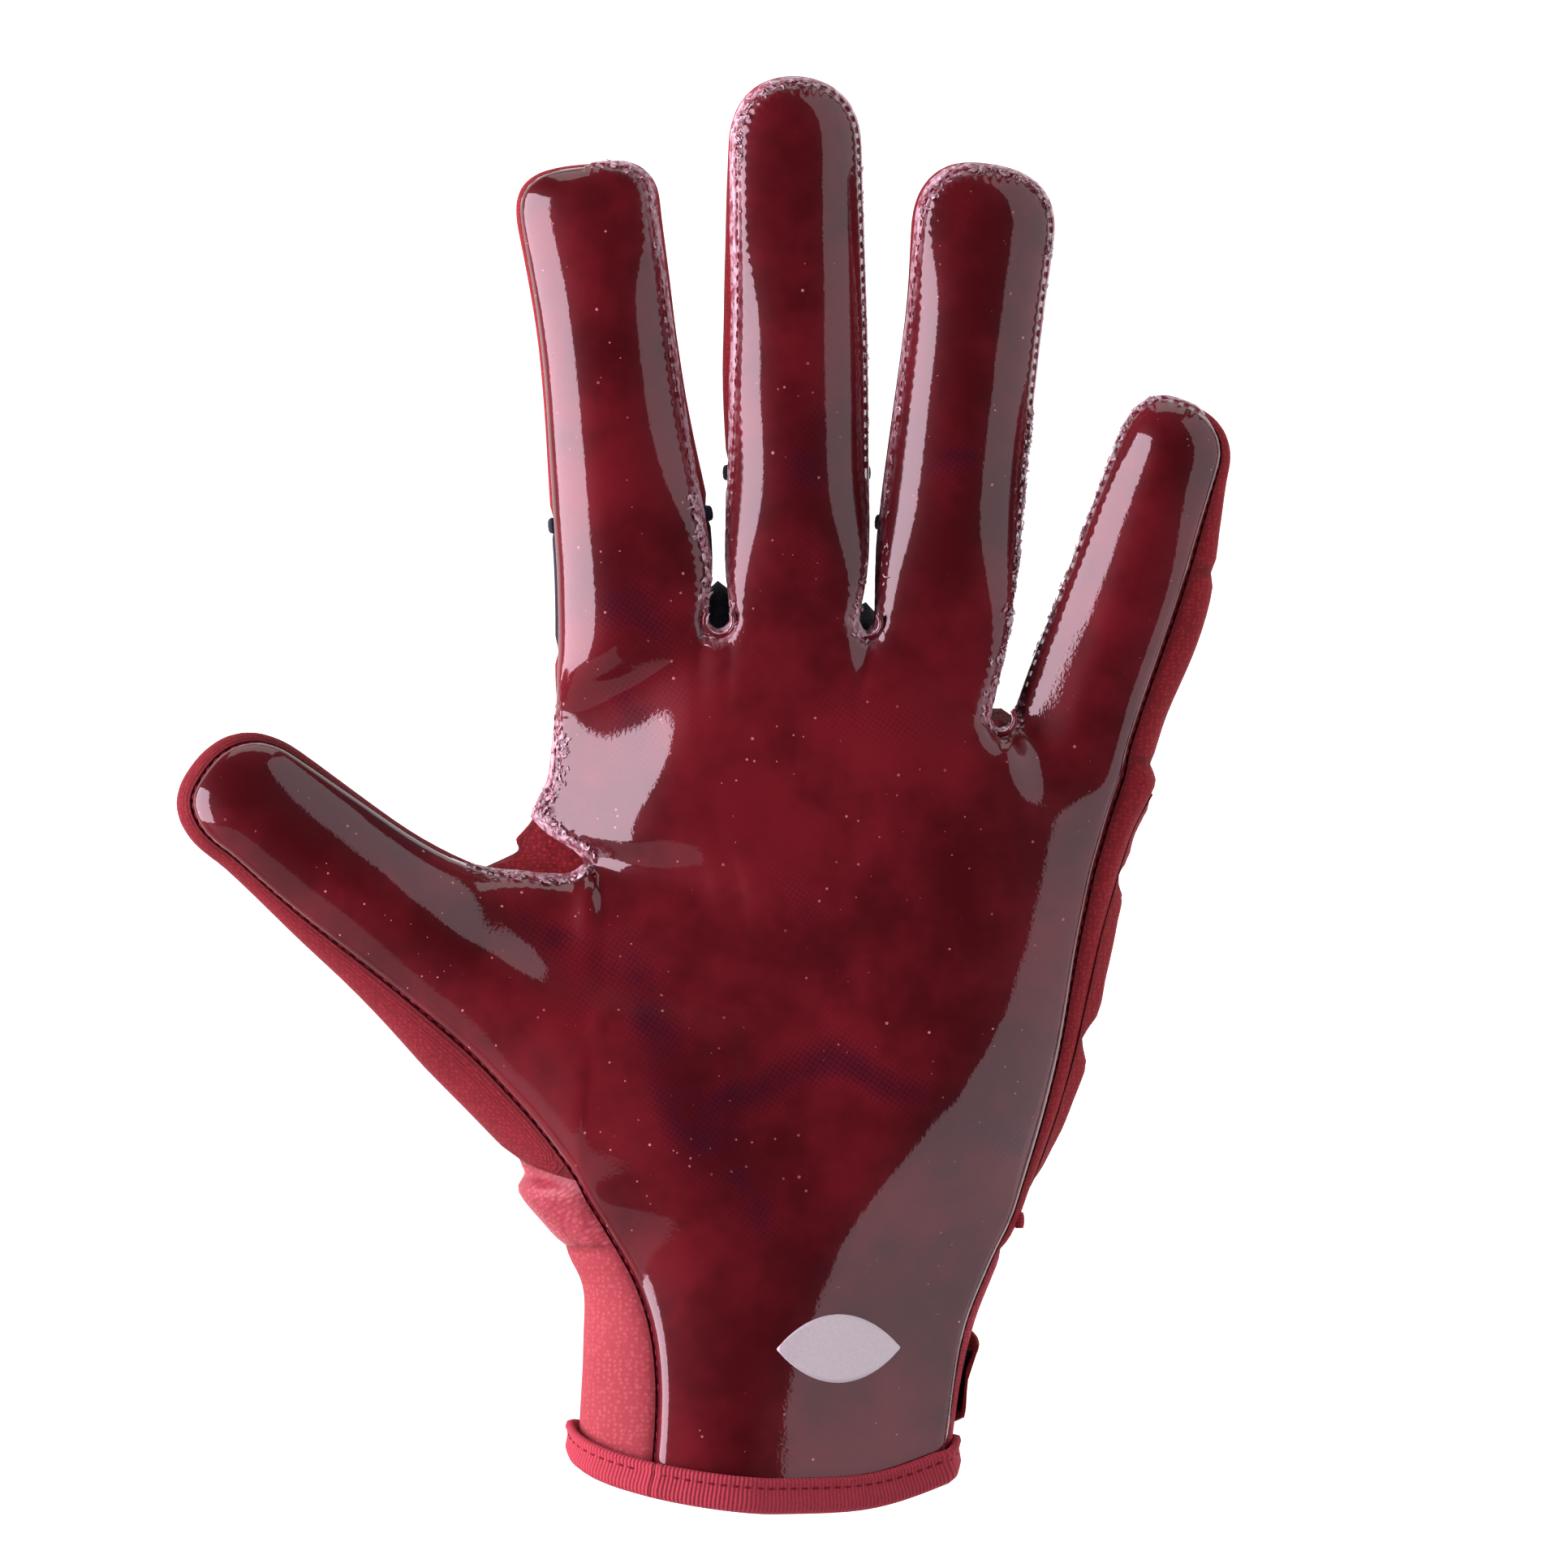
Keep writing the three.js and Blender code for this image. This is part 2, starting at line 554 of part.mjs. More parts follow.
const digitFronts = Object.values(film).flatMap(gridFaces);
shellPiece("palm_sheet", [...digitFronts, ...gridFaces(palm)], FILM_WALL, FILM_RED);
for (const name of FINGERS) {
  const rows = cloth[name];
  const hemRow = CAP_CELLS + DIGITS[name].sections.length - 1 - DIGITS[name].hem;
  shellPiece(`${name}_back`, gridFaces(rows.slice(0, hemRow + 1)), CLOTH_WALL, CLOTH_RED);
  shellPiece(`${name}_knuckle`, gridFaces(rows.slice(hemRow)), CLOTH_WALL, DARK_CLOTH);
}
shellPiece("thumb_back", gridFaces(cloth.thumb), CLOTH_WALL, CLOTH_RED);
shellPiece("thumb_web", gridFaces([webFront, webMiddle, webBack]), GUSSET_WALL, CLOTH_RED);
["gusset_index_middle", "gusset_middle_ring", "gusset_ring_little"].forEach((name, n) => {
  shellPiece(name, gridFaces(saddles[n]), GUSSET_WALL, DARK_CLOTH);
});
for (const panel of PANELS) {
  const cells = patch(back, panel.top, panel.last, panel.left, panel.right ?? BACK_LAST);
  shellPiece(panel.name, gridFaces(cells), CLOTH_WALL, panel.color);
}
const keptCell = (i, k) => !PANELS.some((panel) => i >= panel.top && i < panel.last
  && k >= panel.left && k < (panel.right ?? BACK_LAST));
const backFaces = [];
for (let i = 0; i < LAST_ROW; i += 1) {
  for (let k = 0; k < BACK_LAST; k += 1) {
    if (keptCell(i, k)) backFaces.push(...gridFaces(patch(back, i, i + 1, k, k + 1)));
  }
}
shellPiece("back_panel", backFaces, CLOTH_WALL, CLOTH_RED);

// Turns each face so that it is seen counterclockwise from outside, starting from one film face.
function faceOutwards(faces) {
  const sides = new Map();
  const key = (a, b) => `${Math.min(a, b)}_${Math.max(a, b)}`;
  const edges = (face) => face.map((a, n) => [a, face[(n + 1) % face.length]]);
  for (const face of faces) {
    for (const [a, b] of edges(face)) sides.set(key(a, b), [...(sides.get(key(a, b)) ?? []), face]);
  }
  const done = new Set([faces[0]]);
  const waiting = [faces[0]];
  while (waiting.length) {
    const face = waiting.pop();
    for (const [a, b] of edges(face)) {
      for (const next of sides.get(key(a, b))) {
        if (done.has(next)) continue;
        if (edges(next).some(([c, d]) => c === a && d === b)) next.reverse();
        done.add(next);
        waiting.push(next);
      }
    }
  }
  return done.size === faces.length;
}
const shellFaces = shell.flatMap((piece) => piece.faces);
if (!faceOutwards(shellFaces)) throw new Error("a piece of the shell shares no edge with the rest");

// The area vector of a face, and the shell's direction outwards at each point.
function faceArea(face) {
  const area = new THREE.Vector3();
  const origin = points[face[0]];
  for (let n = 1; n + 1 < face.length; n += 1) {
    const a = points[face[n]].clone().sub(origin);
    area.add(a.cross(points[face[n + 1]].clone().sub(origin)));
  }
  return area;
}
const outwards = points.map(() => new THREE.Vector3());
for (const face of shellFaces) {
  const area = faceArea(face);
  face.forEach((id) => outwards[id].add(area));
}
outwards.forEach((direction) => direction.normalize());

// A closed solid over some faces of the shell, between two heights above it. Its edges are drawn
// back by half of the seam's gap. Each height is a function of the point and whether it is an edge.
function layer(faces, low, high) {
  const order = new Map();
  const after = (face, n) => face[(n + 1) % face.length];
  const directed = new Set(faces.flatMap((face) => face.map((a, n) => `${a}_${after(face, n)}`)));
  const rim = [];
  const inwards = new Map();
  for (const face of faces) {
    face.forEach((a, n) => {
      const b = after(face, n);
      if (directed.has(`${b}_${a}`)) return;
      rim.push([a, b]);
      const along = points[b].clone().sub(points[a]).normalize();
      const inward = faceArea(face).normalize().cross(along);
      for (const id of [a, b]) inwards.set(id, [...(inwards.get(id) ?? []), inward]);
    });
  }
  const ids = [...new Set(faces.flat())];
  ids.forEach((id, n) => order.set(id, n));
  const places = (height) => ids.map((id) => {
    const sides = inwards.get(id) ?? [];
    const p = points[id].clone().addScaledVector(outwards[id], height(id, sides.length > 0));
    const sum = sides.reduce((total, side) => total.add(side), new THREE.Vector3());
    const mitre = sides.length === 2 ? 1 + sides[0].dot(sides[1]) : sides.length;
    return sides.length ? p.addScaledVector(sum, SEAM_GAP / 2 / Math.max(mitre, SHARPEST_MITRE)) : p;
  });
  const corners = [...places(high), ...places(low)];
  const at = (id, isLow) => order.get(id) + (isLow ? ids.length : 0);
  const triangles = [];
  for (const face of faces) {
    for (let n = 1; n + 1 < face.length; n += 1) {
      const [a, b, c] = [face[0], face[n], face[n + 1]];
      triangles.push(at(a), at(b), at(c), at(a, true), at(c, true), at(b, true));
    }
  }
  for (const [a, b] of rim) {
    triangles.push(at(a), at(a, true), at(b), at(b), at(a, true), at(b, true));
  }
  return solid(corners, triangles);
}

function solid(corners, triangles) {
  const geometry = new THREE.BufferGeometry().setFromPoints(corners);
  geometry.setIndex(triangles);
  return geometry;
}

const glove = new THREE.Group();
function addMesh(name, geometry, color, roughness) {
  geometry.computeVertexNormals();
  const mesh = new THREE.Mesh(geometry, new THREE.MeshStandardMaterial({ color, roughness, metalness: 0 }));
  mesh.name = name;
  glove.add(mesh);
}

for (const { name, faces, wall, color } of shell) {
  const roughness = name === "palm_sheet" ? FILM_GLOSS : CLOTH_MATT;
  addMesh(name, layer(faces, () => -wall, () => 0), color, roughness);
}

// The padded lumps on the back.
SIDE_PADS.forEach((pad, n) => {
  const faces = gridFaces(patch(back, pad.top, pad.foot, pad.first, pad.last));
  faces.forEach((face) => matchShell(face));
  const height = (_id, isEdge) => LAYER_GAP + (isEdge ? PAD_EDGE : PAD_CROWN);
  addMesh(`side_pad_${n + 1}`, layer(faces, () => LAYER_GAP, height), CLOTH_RED, CLOTH_MATT);
});

// Turns a copy of a shell face the way that the shell's own face is turned.
function matchShell(face) {
  if (faceArea(face).dot(outwards[face[0]]) < 0) face.reverse();
}

// A closed solid swept through sections, each a ring of points turned the same way.
function sweep(sections, closed) {
  const count = sections[0].length;
  const triangles = [];
  const last = closed ? sections.length : sections.length - 1;
  for (let s = 0; s < last; s += 1) {
    const next = (s + 1) % sections.length;
    for (let n = 0; n < count; n += 1) {
      const m = (n + 1) % count;
      const [a, b, c, d] = [s * count + n, s * count + m, next * count + m, next * count + n];
      triangles.push(a, b, c, a, c, d);
    }
  }
  if (!closed) {
    const end = (sections.length - 1) * count;
    for (let n = 1; n + 1 < count; n += 1) triangles.push(0, n + 1, n, end, end + n, end + n + 1);
  }
  return solid(sections.flat(), triangles);
}

// The binding: a folded band with its slot over the shell's edge, all round the cuff's mouth.
const cuffLoop = [
  ...palm[LAST_ROW].map((id, j) => ({ id, above: palm[LAST_ROW - 1][j] })),
  ...back[LAST_ROW]
    .slice(1, BACK_LAST)
    .map((id, k) => ({ id, above: back[LAST_ROW - 1][k + 1] }))
    .reverse(),
];
const bindingSections = cuffLoop.map(({ id, above }) => {
  const down = points[id].clone().sub(points[above]).normalize();
  const out = outwards[id].clone().addScaledVector(down, -outwards[id].dot(down)).normalize();
  return BINDING_PROFILE.map(({ out: offset, down: drop }) =>
    points[id].clone().addScaledVector(out, offset).addScaledVector(down, drop));
});
addMesh("cuff_binding", sweep(bindingSections, true), RIB_RED, CLOTH_MATT);

// A flat band round the wrist on the body's outline, between two heights above it.
function wristBand({ start, end, steps, startLevel, endLevel, low, high }, widthAt, liftAt) {
  const sections = Array.from({ length: steps + 1 }, (_, n) => {
    const turned = lerp(start, end, n / steps);
    const level = lerp(startLevel, endLevel, n / steps);
    const angle = degToRad(turned);
    const out = onBody(angle + TURN_STEP, level).sub(onBody(angle - TURN_STEP, level));
    out.set(-out.y, out.x, 0).normalize();
    const lift = liftAt(n);
    const place = (rise, height) =>
      onBody(angle, level + rise).addScaledVector(out, height - lift);
    const half = widthAt(turned) / 2;
    return [place(-half, high), place(half, high), place(half, low), place(-half, low)];
  });
  return sweep(sections, false);
}
const strapTaper = (turned) => smoothstep(turned, STRAP.end - STRAP.taper, STRAP.end);
const strapWidth = (turned) => lerp(STRAP.fullWidth, STRAP.endWidth, strapTaper(turned));
const strapSettle = (n) => (STRAP.low - LAYER_GAP) * fadeOut(n / STRAP.rootSteps);
addMesh("wrist_strap", wristBand(STRAP, strapWidth, strapSettle), CLOTH_RED, CLOTH_MATT);
addMesh("strap_hook", wristBand(HOOK, () => HOOK.width, () => 0), HOOK_BLACK, CLOTH_MATT);

// The ball-shaped mark: a thin plate that follows the palm.
const markSections = Array.from({ length: MARK.cells + 1 }, (_, n) => {
  const share = lerp(-MARK.end, MARK.end, n / MARK.cells);
  const ring = (height, reversed) => {
    const row = Array.from({ length: MARK.across + 1 }, (_unused, k) => {
      const x = MARK.x + MARK.halfLength * share;
      const z = MARK.z + MARK.halfHeight * (1 - share * share) * lerp(-1, 1, k / MARK.across);
      return new THREE.Vector3(x, -palmDepth(x, z) - height, z);
    });
    return reversed ? row.reverse() : row;
  };
  return [...ring(LAYER_GAP, false), ...ring(LAYER_GAP + MARK.thickness, true)];
});
addMesh("palm_badge", sweep(markSections, false), MARK_WHITE, FILM_GLOSS);

// The folded end of the side seam's tape, above the strap.
const tagFoot = palm[TAG.row][PALM_LAST];
const tag = new THREE.BoxGeometry(TAG.thickness, TAG.width, TAG.height);
const tagOut = outwards[tagFoot].clone().setZ(0).normalize();
tag.rotateZ(Math.atan2(tagOut.y, tagOut.x));
const tagPlace = points[tagFoot].clone().addScaledVector(tagOut, LAYER_GAP + TAG.thickness / 2 + TAG.stand);
tag.translate(tagPlace.x, tagPlace.y, tagPlace.z);
addMesh("seam_tag", tag, RIB_RED, CLOTH_MATT);

export default glove;
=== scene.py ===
"""A left-hand receiver glove, seen from the palm, dressed for a studio picture.

The glove is one form of shared points, fine enough to be smooth, and each sewn piece is cut out of
that form, so that neighbours meet along one seam. Lengths in this file are millimetres unless a
name says otherwise, and MM turns them into Blender's metres."""

import bisect
import math
import random

import bmesh
import bpy
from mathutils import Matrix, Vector, kdtree, noise
from mathutils.bvhtree import BVHTree


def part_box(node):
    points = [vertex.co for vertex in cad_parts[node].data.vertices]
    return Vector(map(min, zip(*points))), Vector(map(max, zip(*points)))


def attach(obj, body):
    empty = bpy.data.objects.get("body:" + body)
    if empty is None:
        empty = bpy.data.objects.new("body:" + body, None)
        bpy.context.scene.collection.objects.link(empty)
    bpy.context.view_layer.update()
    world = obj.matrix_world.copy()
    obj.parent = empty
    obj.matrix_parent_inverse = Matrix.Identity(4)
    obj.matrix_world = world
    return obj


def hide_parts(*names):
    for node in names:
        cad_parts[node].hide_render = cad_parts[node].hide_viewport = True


bl_info = {
    "name": "Receiver Glove",
    "version": (1, 0, 0),
    "blender": (4, 5, 0),
    "location": "View3D > Sidebar > Glove",
    "description": "Builds a football receiver glove for the left hand and its studio",
    "category": "Add Mesh",
}

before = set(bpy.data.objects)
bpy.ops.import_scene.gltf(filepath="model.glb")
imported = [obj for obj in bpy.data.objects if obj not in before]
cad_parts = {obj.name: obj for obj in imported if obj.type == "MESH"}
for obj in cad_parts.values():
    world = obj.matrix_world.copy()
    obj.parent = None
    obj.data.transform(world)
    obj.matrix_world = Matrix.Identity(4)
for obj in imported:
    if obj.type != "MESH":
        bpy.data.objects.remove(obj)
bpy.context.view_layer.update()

MM = 0.001
TINY = 1e-6


def lerp(a, b, t):
    return a + (b - a) * t


def clamp(value, low=0.0, high=1.0):
    return max(low, min(high, value))


def smooth(value, low=0.0, high=1.0):
    t = clamp((value - low) / (high - low))
    return t * t * (3 - 2 * t)


def fade_out(t):
    return 1 - smooth(t)


def pairs(loop):
    """Each item of a closed loop with the one after it."""
    return zip(loop, loop[1:] + loop[:1])


def sides_of(faces):
    """The faces' sides, each as two point numbers in their turning order."""
    return {side for face in faces for side in pairs(face)}


def bell(value, middle, width):
    """1 at the middle, falling to nothing a few widths away."""
    return math.exp(-(((value - middle) / width) ** 2))


def powered(value, power):
    return math.copysign(abs(value) ** power, value)


def halved(rows):
    """The rows with one more between each pair, on a smooth curve through them."""
    done = []
    for n, (a, b) in enumerate(zip(rows, rows[1:])):
        before = rows[n - 1] if n else tuple(2 * p - q for p, q in zip(a, b))
        after = rows[n + 2] if n + 2 < len(rows) else tuple(2 * q - p for p, q in zip(a, b))
        middle = tuple((9 * (p + q) - x - y) / 16 for x, p, q, y in zip(before, a, b, after))
        done += [a, middle]
    return done + [rows[-1]]


# ---- the hand's form ----
DIGIT_CELLS = 12
CAP_CELLS = 6
SIDE_CELLS = 4
FILM_WRAP_LIMIT = math.radians(79)
TIP_WRAP = 76
# How softly a digit's front begins to fall away, how far that reaches, and how it eases off farther out.
TURN_SOFT = 1.5
TURN_REACH = 6
TURN_EASE = {"share": 0.6, "from": 8, "to": 20}
HALVES_BLEND = 0.4
LOOP_POWER = 2.3

# Each digit of the hand. root: X and Z where its axis begins. lean: degrees to the right of upright.
# tip: how far up the axis the tip lies. power: how square the tip is. plane: how far behind the hand's
# plane the axis lies at root and tip. hem: how many rows from the root its knuckle cloth reaches.
# tip_wrap: degrees that the film turns over the tip. round: how far up, then how round the front's left
# and right halves are, from 1 for an ellipse down to a flat front with tight edges. turn: how far up,
# then how steeply these halves fall away on top of that. sections: how far up the axis the film's left
# and right edge lie, then the distances from the axis to the outline's left and right and to the film's
# left and right edge, and the depths before and behind the middle plane.
DIGITS = {
    "index": {
        "root": (-23.1, 143), "lean": -4.6, "tip": 78, "power": 3.4, "plane": (0, -1.5), "hem": 4,
        "round": [(0, 1, 0.12), (10, 1, 0.25), (32, 1, 1), (56, 1, 1), (64, 1, 0.35)],
        "sections": [
            (-1.7, 1.5, -12.7, 13.0, -12.4, 12.4, 10.5, 10.5),
            (10, 10, -11.8, 14.6, -11.6, 14.1, 10.2, 10.2),
            (19.5, 19.5, -11.6, 15.0, -11.4, 13.4, 9.8, 9.8),
            (32, 32, -11.4, 13.3, -11.2, 12.1, 9.5, 9.4),
            (45, 45, -11.2, 12.1, -11.0, 11.1, 9.1, 9.0),
            (58, 58, -12.0, 11.4, -11.8, 10.4, 8.7, 8.6),
            (68.5, 68.5, -13.3, 10.9, -13.0, 9.8, 8.2, 8.2),
        ],
    },
    "middle": {
        "root": (3.9, 145.6), "lean": 0, "tip": 89.6, "power": 2.2, "plane": (0, -1), "hem": 4,
        "tip_wrap": 68,
        "round": [(0, 0.12, 0.12), (8, 0.4, 0.25), (22, 1, 0.9), (50, 1, 1), (64, 0.4, 1)],
        "sections": [
            (0, 0, -10.4, 10.5, -9.9, 9.9, 10.5, 10.5),
            (10, 10, -11.6, 12.2, -11.3, 12.0, 10.4, 10.4),
            (25, 25, -11.4, 12.1, -10.6, 11.9, 10.0, 10.0),
            (38, 38, -12.1, 12.0, -10.3, 11.9, 9.7, 9.6),
            (51, 51, -11.9, 11.8, -9.9, 11.7, 9.4, 9.3),
            (64, 64, -11.7, 11.3, -10.2, 11.2, 9.0, 9.0),
            (77.5, 77.5, -11.1, 10.9, -10.3, 10.8, 8.6, 8.6),
        ],
    },
    "ring": {
        "root": (26.3, 137.1), "lean": 6.1, "tip": 84.3, "power": 2.5, "plane": (0.5, -1), "hem": 4,
        "tip_wrap": 68,
        "round": [(-8, 0.12, 0.12), (2, 0.15, 0.15), (12, 0.4, 0.25), (26, 1, 1), (58, 1, 1), (72, 0.45, 1)],
        "sections": [
            (7.5, -6.7, -10.4, 10.6, -9.9, 9.6, 10.2, 10.2),
            (15, 6, -10.9, 11.8, -10.7, 11.6, 10.1, 10.1),
            (24, 20, -11.6, 12.2, -11.1, 12.0, 9.8, 9.8),
            (36, 36, -11.3, 11.9, -10.5, 11.8, 9.5, 9.4),
            (49, 49, -10.9, 11.9, -10.2, 11.8, 9.1, 9.0),
            (61, 61, -10.7, 12.0, -10.0, 11.8, 8.8, 8.7),
            (72.5, 72.5, -11.4, 12.4, -10.3, 12.3, 8.4, 8.4),
        ],
    },
    "little": {
        "root": (48.9, 127.1), "lean": 17.8, "tip": 58, "power": 2.4, "plane": (1.5, 0), "hem": 7,
        "round": [(0, 0.3, 0.6), (14, 0.3, 1), (42, 0.35, 1), (54, 1, 1)],
        "turn": [(0, 0.5, 0), (44, 0.5, 0), (58, 0.2, 0)],
        "sections": [
            (-0.7, -0.7, -10.0, 14.8, -9.5, 10.2, 9.6, 9.6),
            (8, 8, -9.7, 14.5, -9.4, 10.3, 9.3, 9.3),
            (18, 18, -8.9, 15.8, -8.7, 10.5, 9.0, 9.0),
            (28, 28, -8.2, 15.8, -8.0, 10.7, 8.7, 8.7),
            (37, 37, -7.9, 14.0, -7.7, 10.7, 8.4, 8.4),
            (47.5, 47.5, -7.4, 12.0, -7.1, 10.6, 7.9, 7.9),
        ],
    },
    "thumb": {
        "root": (-37, 83.9), "lean": -57.8, "tip": 69.6, "power": 2.4, "plane": (-3, -7), "hem": 0,
        "tip_wrap": 56, "turn": [(0, 0, 1.0), (12, 0, 0.85), (35, 0, 0.45), (60, 0, 0.3)],
        "sections": [
            (-21.1, 5.3, -33.0, 23.0, -22.6, 22.5, 15.5, 13),
            (-10.5, 6.3, -27.0, 20.3, -18.3, 19.8, 14.6, 12.6),
            (-3.5, 9.7, -25.2, 18.1, -16.2, 17.6, 13.8, 12.2),
            (4, 14.9, -22.5, 15.7, -14.2, 15.2, 13.0, 11.8),
            (12, 20.5, -20.3, 12.8, -12.9, 12.4, 12.2, 11.3),
            (26, 31, -16.2, 11.6, -11.4, 11.3, 11.0, 10.6),
            (42, 42, -13.0, 12.1, -10.1, 11.8, 10.0, 9.8),
            (56, 56, -9.9, 13.2, -7.8, 12.6, 9.2, 9.0),
        ],
    },
}
FINGERS = ("index", "middle", "ring", "little")
ALONG_LEFT, ALONG_RIGHT, LEFT, RIGHT, FILM_LEFT, FILM_RIGHT, FRONT, BACK = range(8)

# The lowest point of each round slot between two fingers, in X and Z, how far the cloth behind it rises, and
# how much sooner than elsewhere the film below it comes forward.
SLOT_FEET = ((-8.4, 143.1, 14, 0), (15.6, 142.8, 9, 0.4), (37.4, 127.1, 6, 0.85))
SLOT_RADIUS = 2.3

# The film's two side seams down the palm: X and Z of the left one, X and Z of the right one.
PALM_ROWS = halved([
    (-35.5, 140.3, 58.6, 123.2), (-35.8, 133.0, 57.2, 118.8), (-36.0, 125.5, 55.8, 114.0),
    (-36.6, 118.8, 54.4, 108.9), (-39.3, 113.8, 53.2, 104.5), (-34.8, 110.2, 52.2, 99.5),
    (-31.6, 108.4, 51.2, 94.5), (-29.5, 105.8, 50.2, 89.0), (-28.5, 97.5, 49.2, 82.5),
    (-28.5, 89.0, 48.0, 75.5), (-29.2, 81.0, 46.6, 69.5), (-30.3, 73.0, 45.2, 64.0),
    (-31.4, 63.0, 43.6, 58.5), (-31.2, 53.6, 41.9, 53.0), (-28.6, 48.6, 40.2, 47.5),
    (-25.3, 43.0, 37.6, 42.5), (-22.2, 37.5, 35.2, 37.0), (-19.6, 30.0, 32.6, 30.5),
    (-18.6, 21.5, 31.0, 22.5), (-18.8, 13.0, 30.0, 14.5), (-19.6, 4.4, 28.7, 6.0),
])
LAST_ROW = len(PALM_ROWS) - 1
CUFF_EDGE_LIFT = 1.6

# The body's outline and depths at a height: Z, left, right, front, back.
BODY_LEVELS = [
    (0, -32.2, 32.4, 19.5, 19.5), (9, -31.9, 32.5, 19.3, 19.3), (16, -31.4, 32.6, 19, 19),
    (23, -31.0, 33.3, 18.5, 18.5), (30, -30.8, 36.4, 18, 18), (37, -30.6, 39.2, 17.6, 17.5),
    (44, -34.3, 41.6, 17.6, 17), (51, -40.3, 43.2, 18, 16.5), (57, -43.8, 45.2, 18.4, 16),
    (65, -45.2, 47.8, 18.4, 15.5), (75, -44.4, 50.8, 17.8, 15), (85, -43, 52.6, 17, 14.5),
    (95, -42, 54.4, 16, 14), (105, -41.5, 56.1, 15, 13.5), (113, -41, 58.2, 14.2, 13),
    (119, -38, 60, 13.2, 12.8), (125, -36.6, 61.4, 12.4, 12.5), (140, -36.2, 65, 10.6, 11.5),
    (150, -36, 67, 10, 11),
]

# Pads and hollows of the palm: X, Z, radius and height towards the viewer.
RELIEF_REACH = 1.5
PALM_RELIEF = [(34, 72, 24, 1.6), (6, 96, 24, -2.6), (26, 120, 15, 1.2)]
# Broad slopes where the film falls away to a side, -1 for left. steep: its fall for each millimetre.
# lower: how much steeper it is near the cuff. soft: how soft its beginning is. crease: where it ends at
# a crease, X and Z of a spot on it, its rise to the right and how far above it the slope has died out.
# begins: for a few heights Z, the X where the slope begins.
SLOPES = [
    {"side": -1, "steep": 0.42, "lower": 0, "soft": 1.6, "crease": (-28, 133, 0.42, 6.5),
     "begins": [(80, -50), (98, -42), (102, -27), (104.5, -24.6), (136, -9.5), (150, -4)]},
    {"side": 1, "steep": 0.27, "lower": 0.1, "soft": 3, "crease": None,
     "begins": halved([(0, -5), (20, -3), (38, 5), (49, 12), (60, 21), (75, 36), (100, 60)])},
]
# The heights that the slopes get steeper between, on the way down to the cuff.
STEEPER = (70, 40)

# Rows and columns of the palm's cells, and how far the shapes of its neighbours reach into it: the top
# and cuff in shares of its height, the thumb in cells, the lifted roots of the fingers in shares again.
THUMB_TOP_ROW = 14
THUMB_FOOT_ROW = THUMB_TOP_ROW + DIGIT_CELLS
FLAP_ROW = 8
TOP_FADE = 0.3
CUFF_FADE = 0.35
THUMB_FADE_CELLS = 24
THUMB_FADE_ROWS = 8
BACK_FADE_CELLS = 12
THUMB_BASE = halved([(-31.2, -14, 53.6), (-42.9, 0, 57.3), (-42, 9.5, 66.5), (-38.5, 12.4, 78),
                     (-37.5, 12, 90), (-39.5, 9, 101), (-42.9, -1.6, 110.2)])
WEB_DEPTH = 3.5
WEB_MIDDLE_SHARE = 0.4
WEB_THUMB_SECTIONS = range(1, 9)
SADDLE_DEPTH = 5.5
LIFT_FADE = 0.11
FOOT_WIDTH = 6
# How far from the thumb's root the film swells, and how much.
JOIN_REACH = 6
JOIN_EASE = 1.2
CUFF_RISE = {"left": 9, "right": 6.4, "back": 5, "left_curve": 1.25, "right_curve": 3.2}

# Panels cut out of the back: first and last row, first and last column (-1 is the last).
PANELS = {
    "satin_tab": (24, 30, 0, 8),
    "wrist_knit": (30, 40, 0, 9),
    "rib_side": (30, 40, 26, -1),
}


def in_table(rows, key):
    """The other columns of a table at a value of its first one."""
    above = next((n for n, row in enumerate(rows) if row[0] > key), len(rows) - 1)
    a, b = rows[max(above, 1) - 1], rows[max(above, 1)]
    t = clamp((key - a[0]) / (b[0] - a[0]))
    return [lerp(p, q, t) for p, q in zip(a[1:], b[1:])]


def at_level(z):
    """The body's left, right, front and back at a height."""
    return in_table(BODY_LEVELS, z)


def on_body(angle, z):
    """A point on the body's loop at an angle from the middle of the back."""
    left, right, front, back = at_level(z)
    across = powered(math.sin(angle), 2 / LOOP_POWER)
    depth = powered(math.cos(angle), 2 / LOOP_POWER)
    x = (left + right) / 2 + (right - left) / 2 * across
    return Vector((x, depth * (back if depth > 0 else front), z))


def body_angle(p):
    left, right, front, back = at_level(p.z)
    across = (p.x - (left + right) / 2) / ((right - left) / 2)
    depth = p.y / (back if p.y > 0 else front)
    return math.atan2(powered(across, LOOP_POWER / 2), powered(depth, LOOP_POWER / 2))


def off_line(x, z, ax, az, bx, bz):
    """How far a spot lies from a straight line between two others."""
    reach, away = Vector((bx - ax, bz - az)), Vector((x - ax, z - az))
    return (away - reach * clamp(away.dot(reach) / max(reach.length_squared, TINY))).length


def slope_drop(x, z):
    """How far the palm's broad slopes lie below it at a spot."""
    total = 0
    for slope in SLOPES:
        beyond = slope["side"] * (x - in_table(slope["begins"], z)[0])
        steep = slope["steep"] + slope["lower"] * smooth(-z, *(-level for level in STEEPER))
        drop = steep * (math.hypot(beyond, slope["soft"]) + beyond) / 2
        if slope["crease"]:
            cx, cz, rise, reach = slope["crease"]
            drop *= fade_out((z - cz - rise * (x - cx)) / reach)
        total += drop
    return total


